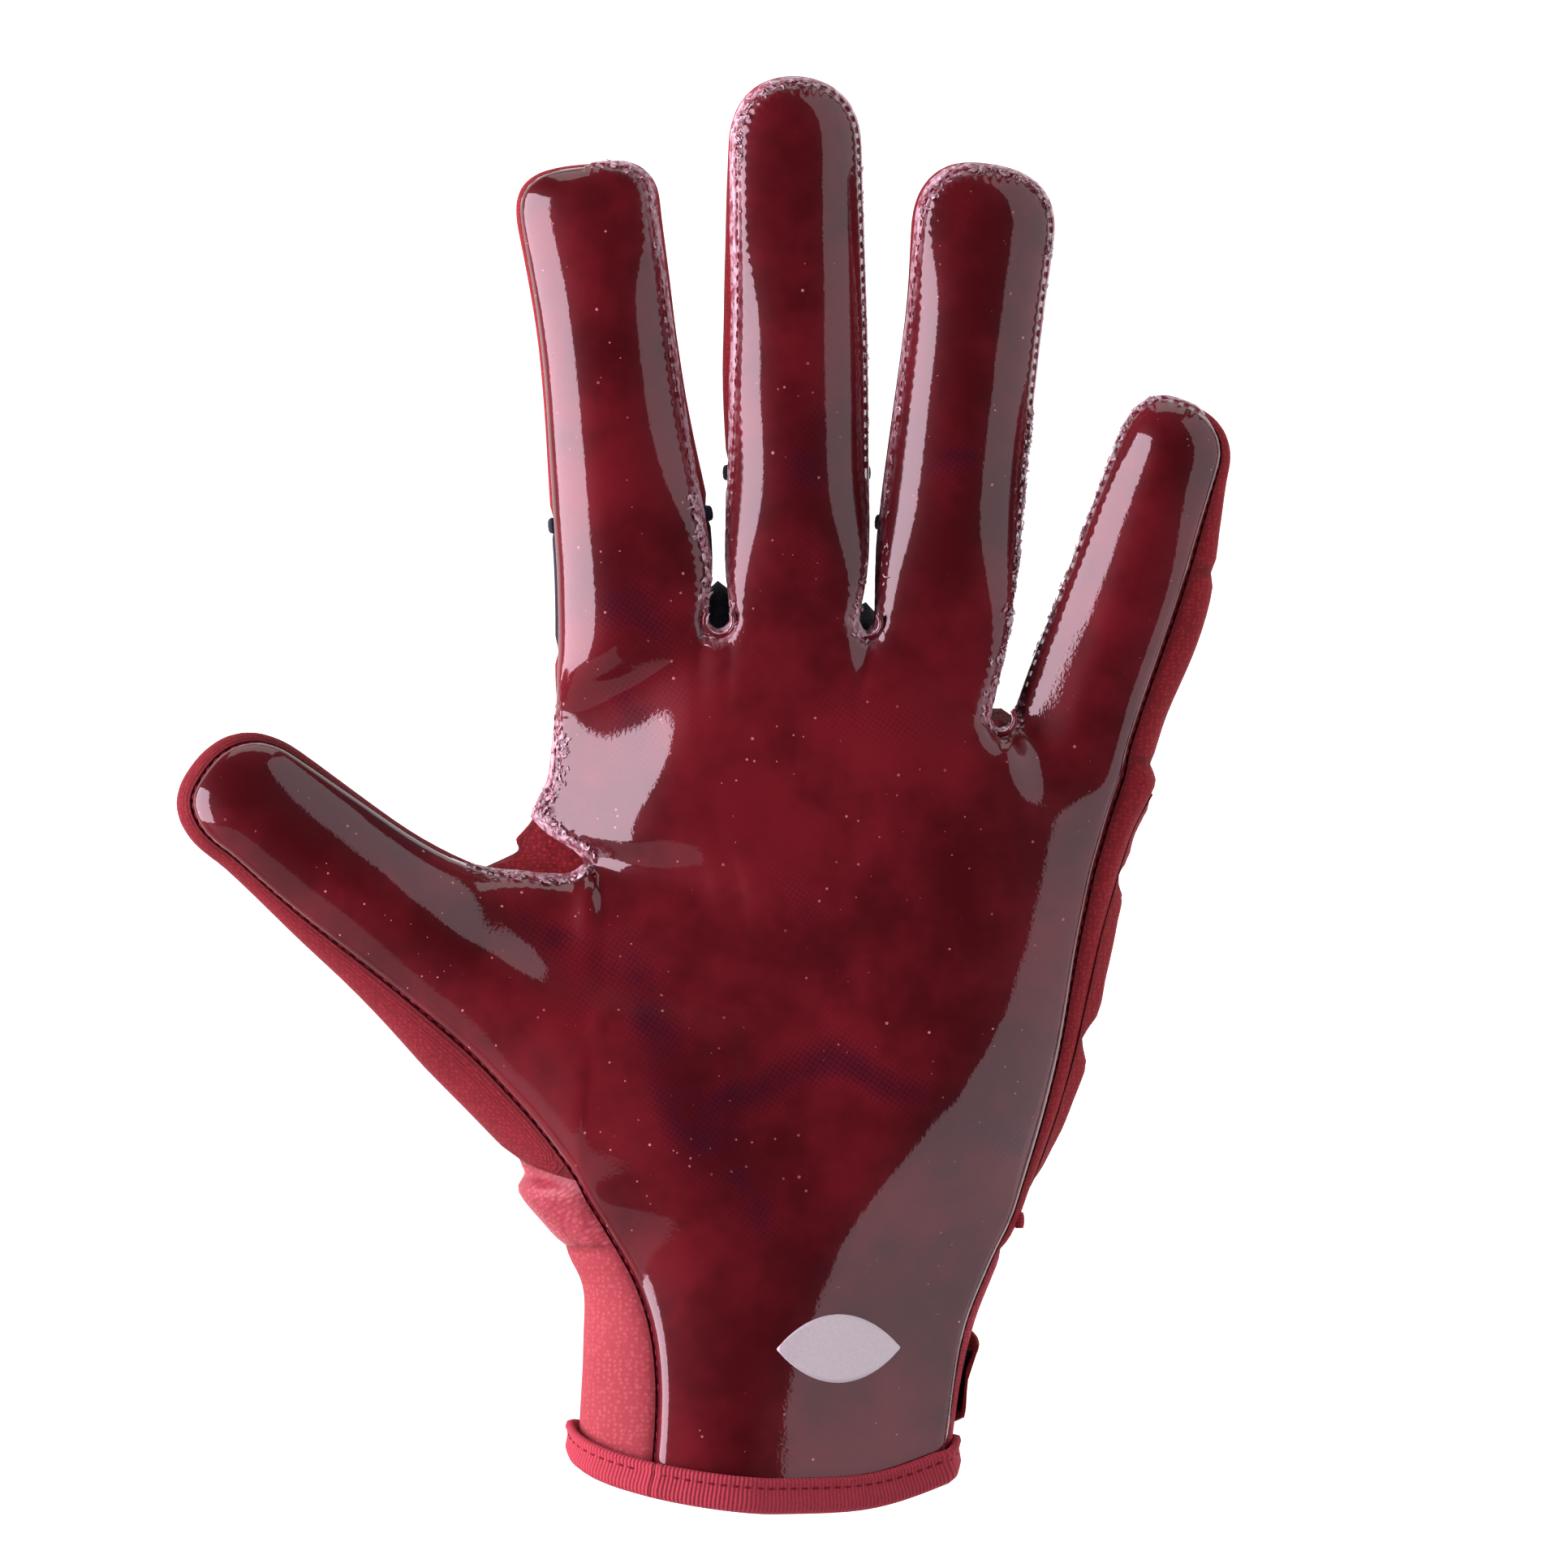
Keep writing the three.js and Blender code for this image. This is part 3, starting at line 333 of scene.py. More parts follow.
def palm_depth(x, z):
    """How far the palm's surface stands before the body's middle plane."""
    left, right, front, _back = at_level(z)
    across = (x - (left + right) / 2) / ((right - left) / 2)
    round_ = max(0, 1 - abs(across) ** LOOP_POWER) ** (1 / LOOP_POWER)
    relief = sum(h * math.exp(-((x - px) ** 2 + (z - pz) ** 2) / r ** 2) for px, pz, r, h in PALM_RELIEF)
    return (front - slope_drop(x, z)) * round_ + relief * min(1, round_ * RELIEF_REACH)


def cuff_rise(angle):
    """How far the cuff's edge lies above its lowest point, by the angle from the middle of the back."""
    turned = 2 - abs(angle) / (math.pi / 2)
    name = "left" if angle < 0 else "right"
    side = CUFF_RISE[name]
    if turned < 1:
        return side * max(turned, 0) ** CUFF_RISE[f"{name}_curve"]
    return lerp(side, CUFF_RISE["back"], smooth(turned - 1))


def sides_at(rows, along):
    """A table's two values, for the left and the right half, at a height on the digit."""
    after = next((n for n, row in enumerate(rows) if row[0] > along), len(rows))
    a, b = rows[max(after - 1, 0)], rows[min(after, len(rows) - 1)]
    t = smooth((along - a[0]) / max(b[0] - a[0], TINY))
    return lerp(a[1], b[1], t), lerp(a[2], b[2], t)


def turned_back(digit, along, offset):
    """How far a digit's front falls away to its sides."""
    total = 0
    for amount, away in zip(sides_at(digit.get("turn", [(0, 0, 0)]), along), (-offset, offset)):
        beyond = (math.hypot(away, TURN_SOFT) + away) / 2
        ease = 1 - TURN_EASE["share"] * smooth(beyond, TURN_EASE["from"], TURN_EASE["to"])
        total += amount * TURN_REACH * math.tanh(beyond / TURN_REACH) * ease
    return total


def on_digit(digit, section, angle, behind, dome=None):
    """A point of a digit at an angle from the middle of its front, or of its back if it is behind. dome
    is the angle from the front, and the directions across and up, of a point on the closed tip."""
    lean = math.radians(digit["lean"])
    up_x, up_z = math.sin(lean), math.cos(lean)
    across, rise, level = math.sin(angle), 0, math.cos(angle)
    if dome:
        turned, side, up = dome
        swing = math.atan2(up, side)
        power = digit["power"]
        full = (abs(math.cos(swing)) ** power + abs(math.sin(swing)) ** power) ** (-1 / power)
        across = math.sin(turned) * math.cos(swing) * full
        rise = math.sin(turned) * math.sin(swing) * full
        level = math.cos(turned)
    offset = across * (-section[LEFT] if across < 0 else section[RIGHT])
    share = clamp((offset - section[FILM_LEFT]) / (section[FILM_RIGHT] - section[FILM_LEFT]))
    along = lerp(section[ALONG_LEFT], section[ALONG_RIGHT], share)
    along += rise * (digit["tip"] - section[ALONG_LEFT])
    plane = lerp(*digit["plane"], clamp(along / digit["tip"]))
    front = -level if behind else level
    left, right = sides_at(digit.get("round", [(0, 1, 1)]), along)
    power = lerp(left, right, smooth(across, -HALVES_BLEND, HALVES_BLEND))
    depth = front ** power * section[FRONT] if front > 0 else front * section[BACK]
    x, z = digit["root"]
    return Vector((x + up_x * along + up_z * offset, plane - depth + turned_back(digit, along, offset),
                   z + up_z * along - up_x * offset))


def digit_rows(digit, behind):
    """Rows of a digit's film or cloth from tip to root, each from the left seam to the right one."""
    sections = halved(digit["sections"])

    def reach(section):
        sides = (section[FILM_LEFT] / section[LEFT], section[FILM_RIGHT] / section[RIGHT])
        wraps = [min(FILM_WRAP_LIMIT, math.asin(min(1, side))) for side in sides]
        wraps.append(math.radians(digit.get("tip_wrap", TIP_WRAP)))
        return [math.pi - wrap for wrap in wraps] if behind else wraps

    def column(n):
        return 2 * n / DIGIT_CELLS - 1

    rows = []
    for section in sections:
        left, right, _tip = reach(section)
        rows.append([on_digit(digit, section, column(n) * (left if column(n) < 0 else right), behind)
                     for n in range(DIGIT_CELLS + 1)])
    last = sections[-1]
    left, right, tip = reach(last)
    for n in range(1, CAP_CELLS + 1):
        v = n / CAP_CELLS
        row = []
        for c in range(DIGIT_CELLS + 1):
            u = column(c)
            side, up = u * math.sqrt(1 - v * v / 2), v * math.sqrt(1 - u * u / 2)
            radius = math.hypot(side, up)
            turned = radius * lerp(tip, left if u < 0 else right, (side / radius) ** 2)
            row.append(on_digit(digit, last, 0, behind, (turned, side, up)))
        rows.append(row)
    return rows[::-1]


class Form:
    """The whole hand's surface as shared points, and the cells of each piece cut from it."""

    def __init__(self):
        self.points = []
        self.cells = []
        self.film = {name: [[self.add(p) for p in row] for row in digit_rows(digit, False)]
                     for name, digit in DIGITS.items()}
        self.palm = self.make_palm()
        self.make_web()
        self.cloth = {name: self.make_cloth(name) for name in DIGITS}
        self.saddles = self.make_saddles()
        self.back = self.make_back()
        self.share_out()

    def add(self, p):
        self.points.append(Vector(p))
        return len(self.points) - 1

    def between(self, a, b, t):
        return self.points[a].lerp(self.points[b], t)

    def make_palm(self):
        points = self.points
        feet = []
        for n, (x, z, _rise, _sooner) in enumerate(SLOT_FEET):
            before, after = self.film[FINGERS[n]][-1][-1], self.film[FINGERS[n + 1]][-1][0]
            feet.append(self.add((x, (points[before].y + points[after].y) / 2, z)))
        top = []
        for n, name in enumerate(FINGERS):
            top += self.film[name][-1] + feet[n:n + 1]
        self.feet, self.palm_last = feet, len(top) - 1
        head, foot = PALM_ROWS[0], PALM_ROWS[-1]
        self.down = [(head[3] - row[3]) / (head[3] - foot[3]) for row in PALM_ROWS]
        self.near_top = [fade_out(t / TOP_FADE) for t in self.down]
        self.near_cuff = [fade_out((1 - t) / CUFF_FADE) for t in self.down]
        first, last = points[top[0]], points[top[-1]]
        shares = [(points[id].x - first.x) / (last.x - first.x) for id in top]
        places = []
        for i, (lx, lz, rx, rz) in enumerate(PALM_ROWS):
            row = []
            for id, u in zip(top, shares):
                cuff_x = lerp(foot[0], foot[2], u)
                cuff_z = cuff_rise(body_angle(Vector((cuff_x, -palm_depth(cuff_x, 0), 0)))) + CUFF_EDGE_LIFT
                top_bow = points[id].z - lerp(first.z, last.z, u)
                cuff_bow = cuff_z - lerp(foot[1], foot[3], u)
                row.append((lerp(lx, rx, u),
                            lerp(lz, rz, u) + top_bow * self.near_top[i] + cuff_bow * self.near_cuff[i]))
            places.append(row)
        lifts = [points[id].y + palm_depth(*places[0][j]) for j, id in enumerate(top)]
        reach = [LIFT_FADE * (1 - sum(sooner * bell(points[id].x, x, FOOT_WIDTH)
                                      for x, _z, _rise, sooner in SLOT_FEET)) for id in top]
        root = self.film["thumb"][-1]

        def thumb_lift(i):
            beside = round(clamp(i, THUMB_TOP_ROW, THUMB_FOOT_ROW))
            lift = points[root[THUMB_FOOT_ROW - beside]].y + palm_depth(*places[beside][0])
            return lift * fade_out(abs(i - beside) / THUMB_FADE_ROWS)

        rows = [top]
        for i in range(1, LAST_ROW + 1):
            row = []
            for j, (x, z) in enumerate(places[i]):
                if j == 0 and THUMB_TOP_ROW <= i <= THUMB_FOOT_ROW:
                    row.append(root[THUMB_FOOT_ROW - i])
                    continue
                lift = lifts[j] * fade_out(self.down[i] / reach[j])
                lift += thumb_lift(i) * fade_out(j / THUMB_FADE_CELLS)
                if THUMB_TOP_ROW <= i <= THUMB_FOOT_ROW:
                    beyond = (x - places[i][0][0]) / JOIN_REACH
                    lift += JOIN_EASE * beyond * math.exp(-beyond)
                row.append(self.add((x, lift - palm_depth(x, z), z)))
            rows.append(row)
        return rows

    def make_web(self):
        thumb = self.film["thumb"]
        front = [row[0] for row in self.palm[FLAP_ROW:THUMB_TOP_ROW + 1]]
        front += [thumb[len(thumb) - 1 - section][-1] for section in WEB_THUMB_SECTIONS]
        last = len(front) - 1
        back, middle = [], []
        for n, id in enumerate(front):
            if n in (0, last):
                back.append(id)
                middle.append(id)
                continue
            p = self.between(front[0], front[last], n / last)
            p.y += WEB_DEPTH * math.sin(math.pi * n / last)
            back.append(self.add(p))
            middle.append(self.add(self.between(id, back[n], WEB_MIDDLE_SHARE)))
        self.web_front, self.web_middle, self.web_back = front, middle, back
        self.web_apex = THUMB_TOP_ROW - FLAP_ROW

    def make_cloth(self, name):
        places = digit_rows(DIGITS[name], True)
        sections = len(self.web_front) - 1 - self.web_apex if name == "thumb" else 0
        rows = []
        for i, row in enumerate(places):
            section = len(places) - 1 - i
            ids = []
            for c, p in enumerate(row):
                if section < sections and c == DIGIT_CELLS:
                    ids.append(self.web_back[self.web_apex + section])
                elif i == 0 or c in (0, DIGIT_CELLS):
                    ids.append(self.film[name][i][c])
                elif section >= sections:
                    ids.append(self.add(p))
                else:
                    base = Vector(THUMB_BASE[c])
                    ids.append(self.add(base.lerp(places[len(places) - 1 - sections][c], section / sections)))
            rows.append(ids)
        return rows

    def make_saddles(self):
        saddles = []
        for n, foot in enumerate(self.feet):
            left = self.cloth[FINGERS[n]][-1][DIGIT_CELLS - SIDE_CELLS:][::-1]
            right = self.cloth[FINGERS[n + 1]][-1][:SIDE_CELLS + 1]
            rows = [[left[0], foot, right[0]]]
            for k in range(1, SIDE_CELLS + 1):
                t = k / SIDE_CELLS
                p = self.between(left[k], right[k], 0.5)
                p.y = lerp(self.points[foot].y, SADDLE_DEPTH, t)
                p.z = self.points[foot].z + SLOT_FEET[n][2] * math.sin(t * math.pi / 2)
                rows.append([left[k], self.add(p), right[k]])
            saddles.append(rows)
        return saddles

    def make_back(self):
        points = self.points
        top = []
        for n, name in enumerate(FINGERS):
            first = SIDE_CELLS if n else 0
            last = DIGIT_CELLS if n == len(FINGERS) - 1 else DIGIT_CELLS - SIDE_CELLS
            top += self.cloth[name][-1][first:last + 1] + [rows[-1][1] for rows in self.saddles[n:n + 1]]
        last_column = self.back_last = len(top) - 1
        turned = [body_angle(points[id]) for id in top]
        foot = PALM_ROWS[-1]
        rows = [top]
        for i in range(1, LAST_ROW + 1):
            if FLAP_ROW < i < THUMB_TOP_ROW:
                left = self.web_back[i - FLAP_ROW]
            elif THUMB_TOP_ROW <= i <= THUMB_FOOT_ROW:
                left = self.cloth["thumb"][-1][THUMB_FOOT_ROW - i]
            else:
                left = self.palm[i][0]
            ends = (left, self.palm[i][-1])
            spots = [points[id] for id in ends]
            angles = [body_angle(p) for p in spots]
            if angles[0] > 0:
                angles[0] -= 2 * math.pi
            off = [p - on_body(angle, p.z) for p, angle in zip(spots, angles)]
            row = [ends[0]]
            near = self.near_top[i]
            for k in range(1, last_column):
                u = k / last_column
                p_top = points[top[k]]
                angle = lerp(angles[0], angles[1], u) + (turned[k] - lerp(turned[0], turned[-1], u)) * near
                top_bow = p_top.z - lerp(points[top[0]].z, points[top[-1]].z, u)
                cuff_bow = cuff_rise(angle) + CUFF_EDGE_LIFT - lerp(foot[1], foot[3], u)
                z = lerp(spots[0].z, spots[1].z, u) + top_bow * near + cuff_bow * self.near_cuff[i]
                p = on_body(angle, z) + (p_top - on_body(turned[k], p_top.z)) * near
                left, right = (fade_out(cells / BACK_FADE_CELLS) for cells in (k, last_column - k))
                p += off[0] * left + off[1] * right
                row.append(self.add(p))
            rows.append(row + [ends[1]])
        return rows

    def share_out(self):
        """Names the piece of each cell."""
        for rows in self.film.values():
            self.take("palm_sheet", rows)
        self.take("palm_sheet", self.palm)
        for name in FINGERS:
            rows = self.cloth[name]
            hem = len(rows) - 1 - DIGITS[name]["hem"]
            self.take(f"{name}_back", rows[:hem + 1])
            self.take(f"{name}_knuckle", rows[hem:])
        self.take("thumb_back", self.cloth["thumb"])
        self.take("thumb_web", [self.web_front, self.web_middle, self.web_back])
        for rows, a, b in zip(self.saddles, FINGERS, FINGERS[1:]):
            self.take(f"gusset_{a}_{b}", rows)
        for i in range(LAST_ROW):
            for k in range(self.back_last):
                owner = next((name for name, (top, last, left, right) in PANELS.items()
                              if top <= i < last and left <= k < (right if right > 0 else self.back_last)),
                             "back_panel")
                self.take(owner, [self.back[i][k:k + 2], self.back[i + 1][k:k + 2]])

    def take(self, piece, rows):
        for upper, lower in zip(rows, rows[1:]):
            for j in range(len(upper) - 1):
                corners = [upper[j], lower[j], lower[j + 1], upper[j + 1]]
                cell = [id for n, id in enumerate(corners) if corners.index(id) == n]
                if len(cell) > 2:
                    self.cells.append((piece, cell))


# ---- the smooth skin, and solids made from parts of it ----
PIECES = ["palm_sheet", *(f"{name}_back" for name in FINGERS), *(f"{name}_knuckle" for name in FINGERS),
          "thumb_back", "thumb_web", *(f"gusset_{a}_{b}" for a, b in zip(FINGERS, FINGERS[1:])), *PANELS,
          "back_panel"]
# Padded lumps along the little finger's side: first and last row, first and last column of the back.
SIDE_PADS = {"side_pad_1": (2, 8, 21, 28), "side_pad_2": (8, 18, 21, 28), "side_pad_3": (18, 26, 21, 28)}
BORDER_STEP = 0.4


class Skin:
    """The form made smooth: its points, outward directions and faces, by piece."""

    def __init__(self):
        form = Form()
        mesh = bpy.data.meshes.new("hand_form")
        mesh.from_pydata([p * MM for p in form.points], [], [cell for _piece, cell in form.cells])
        mesh.polygons.foreach_set("material_index", [PIECES.index(piece) for piece, _cell in form.cells])
        pad_of = mesh.attributes.new("pad", "INT", "FACE")
        corner = {}
        for n, (top, foot, first, last) in enumerate(SIDE_PADS.values()):
            for i in range(top, foot):
                for k in range(first, last):
                    corner[form.back[i][k], form.back[i + 1][k + 1]] = n + 1
        for n, (_piece, cell) in enumerate(form.cells):
            if len(cell) == 4:
                pad_of.data[n].value = corner.get((cell[0], cell[2]), 0)
        hand = bpy.data.objects.new("hand_form", mesh)
        bpy.context.collection.objects.link(hand)
        face_outwards(mesh, PIECES.index("palm_sheet"))
        rounded = hand.modifiers.new("rounded", "SUBSURF")
        rounded.levels = rounded.render_levels = 1
        only(hand)
        bpy.ops.object.modifier_apply(modifier=rounded.name)
        mesh = hand.data
        self.points = [v.co / MM for v in mesh.vertices]
        self.outward = [n.vector.copy() for n in mesh.vertex_normals]
        self.faces = {name: [] for name in (*PIECES, *SIDE_PADS)}
        for face, pad in zip(mesh.polygons, mesh.attributes["pad"].data):
            ids = tuple(face.vertices)
            self.faces[PIECES[face.material_index]].append(ids)
            if pad.value:
                self.faces[list(SIDE_PADS)[pad.value - 1]].append(ids)
        counts = {}
        for name in PIECES:
            for face in self.faces[name]:
                for a, b in pairs(face):
                    counts[frozenset((a, b))] = counts.get(frozenset((a, b)), 0) + 1
        self.mouth = {id for edge, count in counts.items() if count == 1 for id in edge}
        bpy.data.objects.remove(hand)

    def border(self, name):
        """The piece's border as closed loops of point numbers, its faces on the left of each."""
        after = {}
        sides = sides_of(self.faces[name])
        for a, b in sides:
            if (b, a) not in sides:
                after[a] = b
        loops = []
        while after:
            start = next(iter(sorted(after)))
            loop = [start]
            while loop[-1] in after and after[loop[-1]] != start:
                loop.append(after.pop(loop[-1]))
            after.pop(loop[-1], None)
            loops.append(loop)
        return loops


def face_outwards(mesh, front=None):
    """Turns all faces outwards. An open mesh needs the material whose faces look to the front."""
    bm = bmesh.new()
    bm.from_mesh(mesh)
    bmesh.ops.recalc_face_normals(bm, faces=bm.faces)
    if sum(f.normal.y * f.calc_area() for f in bm.faces if f.material_index == front) > 0:
        bmesh.ops.reverse_faces(bm, faces=bm.faces)
    bm.to_mesh(mesh)
    bm.free()


def only(obj):
    """Makes an object the active one and the only one that is selected."""
    bpy.ops.object.select_all(action="DESELECT")
    bpy.context.view_layer.objects.active = obj
    obj.select_set(True)


def smooth_by_angle(obj, degrees):
    only(obj)
    bpy.ops.object.shade_smooth_by_angle(angle=math.radians(degrees))


class Seam:
    """A border as a line in space, to ask how far away it is and how far along."""

    def __init__(self, skin, loop, closed=True):
        self.places, self.outs, self.ins, self.runs = [], [], [], []
        run = 0
        for a, b in pairs(loop) if closed else zip(loop, loop[1:]):
            start, end = skin.points[a], skin.points[b]
            length = (end - start).length
            steps = max(1, round(length / BORDER_STEP))
            for n in range(steps):
                out = skin.outward[a].lerp(skin.outward[b], n / steps).normalized()
                self.places.append(start.lerp(end, n / steps))
                self.outs.append(out)
                self.ins.append(out.cross(end - start).normalized())
                self.runs.append(run + length * n / steps)
            run += length
        self.length = run

    def at(self, run):
        """The place, outward and inward direction and tangent at a distance along."""
        n = max(bisect.bisect_right(self.runs, run) - 1, 0)
        m = min(n + 1, len(self.places) - 1)
        tangent = (self.places[m] - self.places[max(m - 2, 0)]).normalized()
        return self.places[n], self.outs[n], self.ins[n], tangent


def seam_tree(seams):
    """The seams' places to search by nearness, and how far along each one lies."""
    tree = kdtree.KDTree(sum(len(seam.places) for seam in seams))
    spots = []
    for seam in seams:
        for place, run in zip(seam.places, seam.runs):
            tree.insert(place, len(spots))
            spots.append(run)
    tree.balance()
    return tree, spots


def joined(skin, name):
    """The seams of a piece: its border without the stretches at the cuff's mouth."""
    seams = []
    for loop in skin.border(name):
        at_mouth = [id in skin.mouth for id in loop]
        if not any(at_mouth):
            seams.append(Seam(skin, loop))
            continue
        start = next(n for n in range(len(loop))
                     if at_mouth[n - 1] and at_mouth[n] and not at_mouth[(n + 1) % len(loop)])
        loop = loop[start:] + loop[:start]
        stop = next(n for n in range(1, len(loop)) if loop[n] in skin.mouth)
        seams.append(Seam(skin, loop[:stop + 1], closed=False))
    return seams


def as_piece(name, points, faces, looks, node=None):
    """A new object from points in millimetres, with its looks, that rides on the glove."""
    mesh = bpy.data.meshes.new(name)
    mesh.from_pydata([Vector(p) * MM for p in points], [], faces)
    obj = bpy.data.objects.new(name, mesh)
    bpy.context.collection.objects.link(obj)
    for material in looks:
        mesh.materials.append(material)
    mesh.shade_smooth()
    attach(obj, "root")
    if node:
        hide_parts(node)
    return obj


def add_values(mesh, name, values):
    """Gives each point of a mesh a value for its material to read."""
    mesh.attributes.new(name, "FLOAT", "POINT").data.foreach_set("value", values)


def shell(skin, name, looks, low, high, spread=None):
    """A closed shell over a piece's faces between two heights above the skin. Heights and spread,
    how far the border is moved outwards, take the point, its distance from the seam and how far
    along it lies. The shell's points carry edge and run. The last look is the rim's."""
    faces = skin.faces[name]
    ids = sorted({id for face in faces for id in face})
    order = {id: n for n, id in enumerate(ids)}
    loops = skin.border(name)
    tree, runs = seam_tree(joined(skin, name))
    found = [tree.find(skin.points[id]) for id in ids]
    edge = [away for _spot, _n, away in found]
    run = [runs[n] for _spot, n, _away in found]
    shift = {}
    for loop in loops:
        for a, b, c in zip(loop[-1:] + loop[:-1], loop, loop[1:] + loop[:1]):
            inward = skin.outward[b].cross(skin.points[c] - skin.points[a]).normalized()
            n = order[b]
            amount = spread(skin.points[b], run[n]) if spread and b not in skin.mouth else 0
            shift[n] = inward * -amount
    tops, bottoms = [], []
    for n, id in enumerate(ids):
        p, out = skin.points[id] + shift.get(n, Vector()), skin.outward[id]
        tops.append(p + out * high(skin.points[id], edge[n], run[n]))
        bottoms.append(p + out * low(skin.points[id], edge[n], run[n]))
    count = len(ids)
    cells = [tuple(order[id] for id in face) for face in faces]
    cells += [tuple(order[id] + count for id in reversed(face)) for face in faces]
    rim_start = len(cells)
    for loop in loops:
        for a, b in pairs(loop):
            a, b = order[a], order[b]
            cells.append((b, a, a + count, b + count))
    obj = as_piece(name, tops + bottoms, cells, looks, name)
    mesh = obj.data
    for face in mesh.polygons[rim_start:]:
        face.material_index = len(looks) - 1
    add_values(mesh, "edge", edge + edge)
    add_values(mesh, "run", run + run)
    sharpen(mesh, rim_start)
    return obj


def sharpen(mesh, rim_start):
    """Marks the two edges of a shell's rim as sharp."""
    rim = {}
    for face in mesh.polygons:
        for key in face.edge_keys:
            rim.setdefault(key, [0, 0])[face.index >= rim_start] += 1
    sharp = mesh.attributes.new("sharp_edge", "BOOLEAN", "EDGE")
    for edge in mesh.edges:
        inside, outside = rim[edge.key]
        sharp.data[edge.index].value = bool(inside and outside)


# ---- finishes ----
# How a node tree is laid out: the steps to the right and down, and how many nodes stand in a row.
NODE_GRID = {"right": 220, "down": 260, "in_row": 8}


class Finish:
    """A material's node tree, with short calls to add nodes and join them."""

    def __init__(self, name, tree=None):
        self.material = None
        if tree is None:
            self.material = bpy.data.materials.new(name)
            self.material.use_nodes = True
            tree = self.material.node_tree
            tree.nodes.clear()
        self.tree = tree
        self.count = 0

    def node(self, kind, settings=None, **inputs):
        node = self.tree.nodes.new(kind)
        row, column = divmod(self.count, NODE_GRID["in_row"])
        node.location = (NODE_GRID["right"] * column, -NODE_GRID["down"] * row)
        self.count += 1
        for key, value in (settings or {}).items():
            setattr(node, key, value)
        for key, value in inputs.items():
            socket = self.socket(node, key)
            if isinstance(value, bpy.types.NodeSocket):
                self.link(value, socket)
            else:
                socket.default_value = value
        return node

    @staticmethod
    def socket(node, key):
        if key.startswith("in_"):
            return node.inputs[int(key[3:])]
        return node.inputs[key.replace("_", " ")]

    def math(self, operation, a, b=0.0, third=None):
        more = {} if third is None else {"in_2": third}
        return self.node("ShaderNodeMath", {"operation": operation}, in_0=a, in_1=b, **more).outputs[0]

    def vector(self, operation, a, b):
        return self.node("ShaderNodeVectorMath", {"operation": operation}, in_0=a, in_1=b).outputs[0]

    def place(self, turned=(0, 0, 0), scale=(1, 1, 1)):
        """Object coordinates in millimetres, turned and then stretched."""
        spot = self.node("ShaderNodeTexCoord").outputs["Object"]
        mm = tuple(s / MM for s in scale)
        return self.node("ShaderNodeMapping", {"vector_type": "POINT"}, Vector=spot, Rotation=turned,
                         Scale=mm).outputs[0]

    def attribute(self, name):
        return self.node("ShaderNodeAttribute", {"attribute_name": name}).outputs["Fac"]

    def noise(self, vector, scale, detail=3.0, rough=0.5):
        return self.node("ShaderNodeTexNoise", Vector=vector, Scale=scale, Detail=detail,
                         Roughness=rough).outputs["Fac"]

    def times(self, a, b):
        return self.math("MULTIPLY", a, b)

    def scaled(self, value, scale, plus):
        return self.math("MULTIPLY_ADD", value, scale, plus)

    def bell(self, away):
        """1 at nothing, falling to nothing a few units away."""
        return self.math("POWER", math.e, self.times(self.times(away, away), -1.0))

    def link(self, output, socket):
        self.tree.links.new(output, socket)

    def ramp(self, value, low, high):
        """0 at the low value and 1 at the high one, with soft ends."""
        return self.node("ShaderNodeMapRange", {"interpolation_type": "SMOOTHSTEP"}, Value=value,
                         From_Min=low, From_Max=high).outputs[0]

    def mix(self, share, a, b, blend="MIX"):
        return self.node("ShaderNodeMix", {"data_type": "RGBA", "blend_type": blend}, in_0=share, in_6=a,
                         in_7=b).outputs[2]

    def bump(self, height, distance, normal=None):
        more = {} if normal is None else {"Normal": normal}
        return self.node("ShaderNodeBump", Height=height, Distance=distance * MM, Strength=1.0,
                         **more).outputs[0]

    def group(self, tree, **inputs):
        return self.node("ShaderNodeGroup", {"node_tree": tree}, **inputs).outputs

    def surface(self, **inputs):
        shader = self.node("ShaderNodeBsdfPrincipled", **inputs)
        end = self.node("ShaderNodeOutputMaterial")
        self.link(shader.outputs[0], end.inputs["Surface"])
        return self.material


def effect(name, inputs, *outputs):
    """A node group, its inputs and its outputs. An input without a value is a place, all else numbers."""
    tree = bpy.data.node_groups.new(name, "ShaderNodeTree")
    for key, value in inputs.items():
        kind = "NodeSocketVector" if value is None else "NodeSocketFloat"
        socket = tree.interface.new_socket(key, in_out="INPUT", socket_type=kind)
        if value is not None:
            socket.default_value = value
    for key in outputs:
        tree.interface.new_socket(key, in_out="OUTPUT", socket_type="NodeSocketFloat")
    f = Finish(name, tree)
    return f, f.node("NodeGroupInput").outputs, f.node("NodeGroupOutput").inputs


# The row of stitches inside the film's edge, and how wide and how deep it pulls the film.
SEAM_INSET = 1.6
STITCH_PITCH = 1.9
SEAM_PULL = {"width": 0.6, "spread": 2.6, "pucker": 0.22}
# The mesh that shows through the film: the size of its holes and how it is turned.
MESH_PITCH = 1.1
MESH_TURNED = math.radians(10)
# The loops of a knit: how round and how evenly placed they are, how high, and where their shade lies.
LOOPS = {"soft": 0.25, "uneven": 0.6, "high": 1.3, "shade": (0.25, 0.9)}


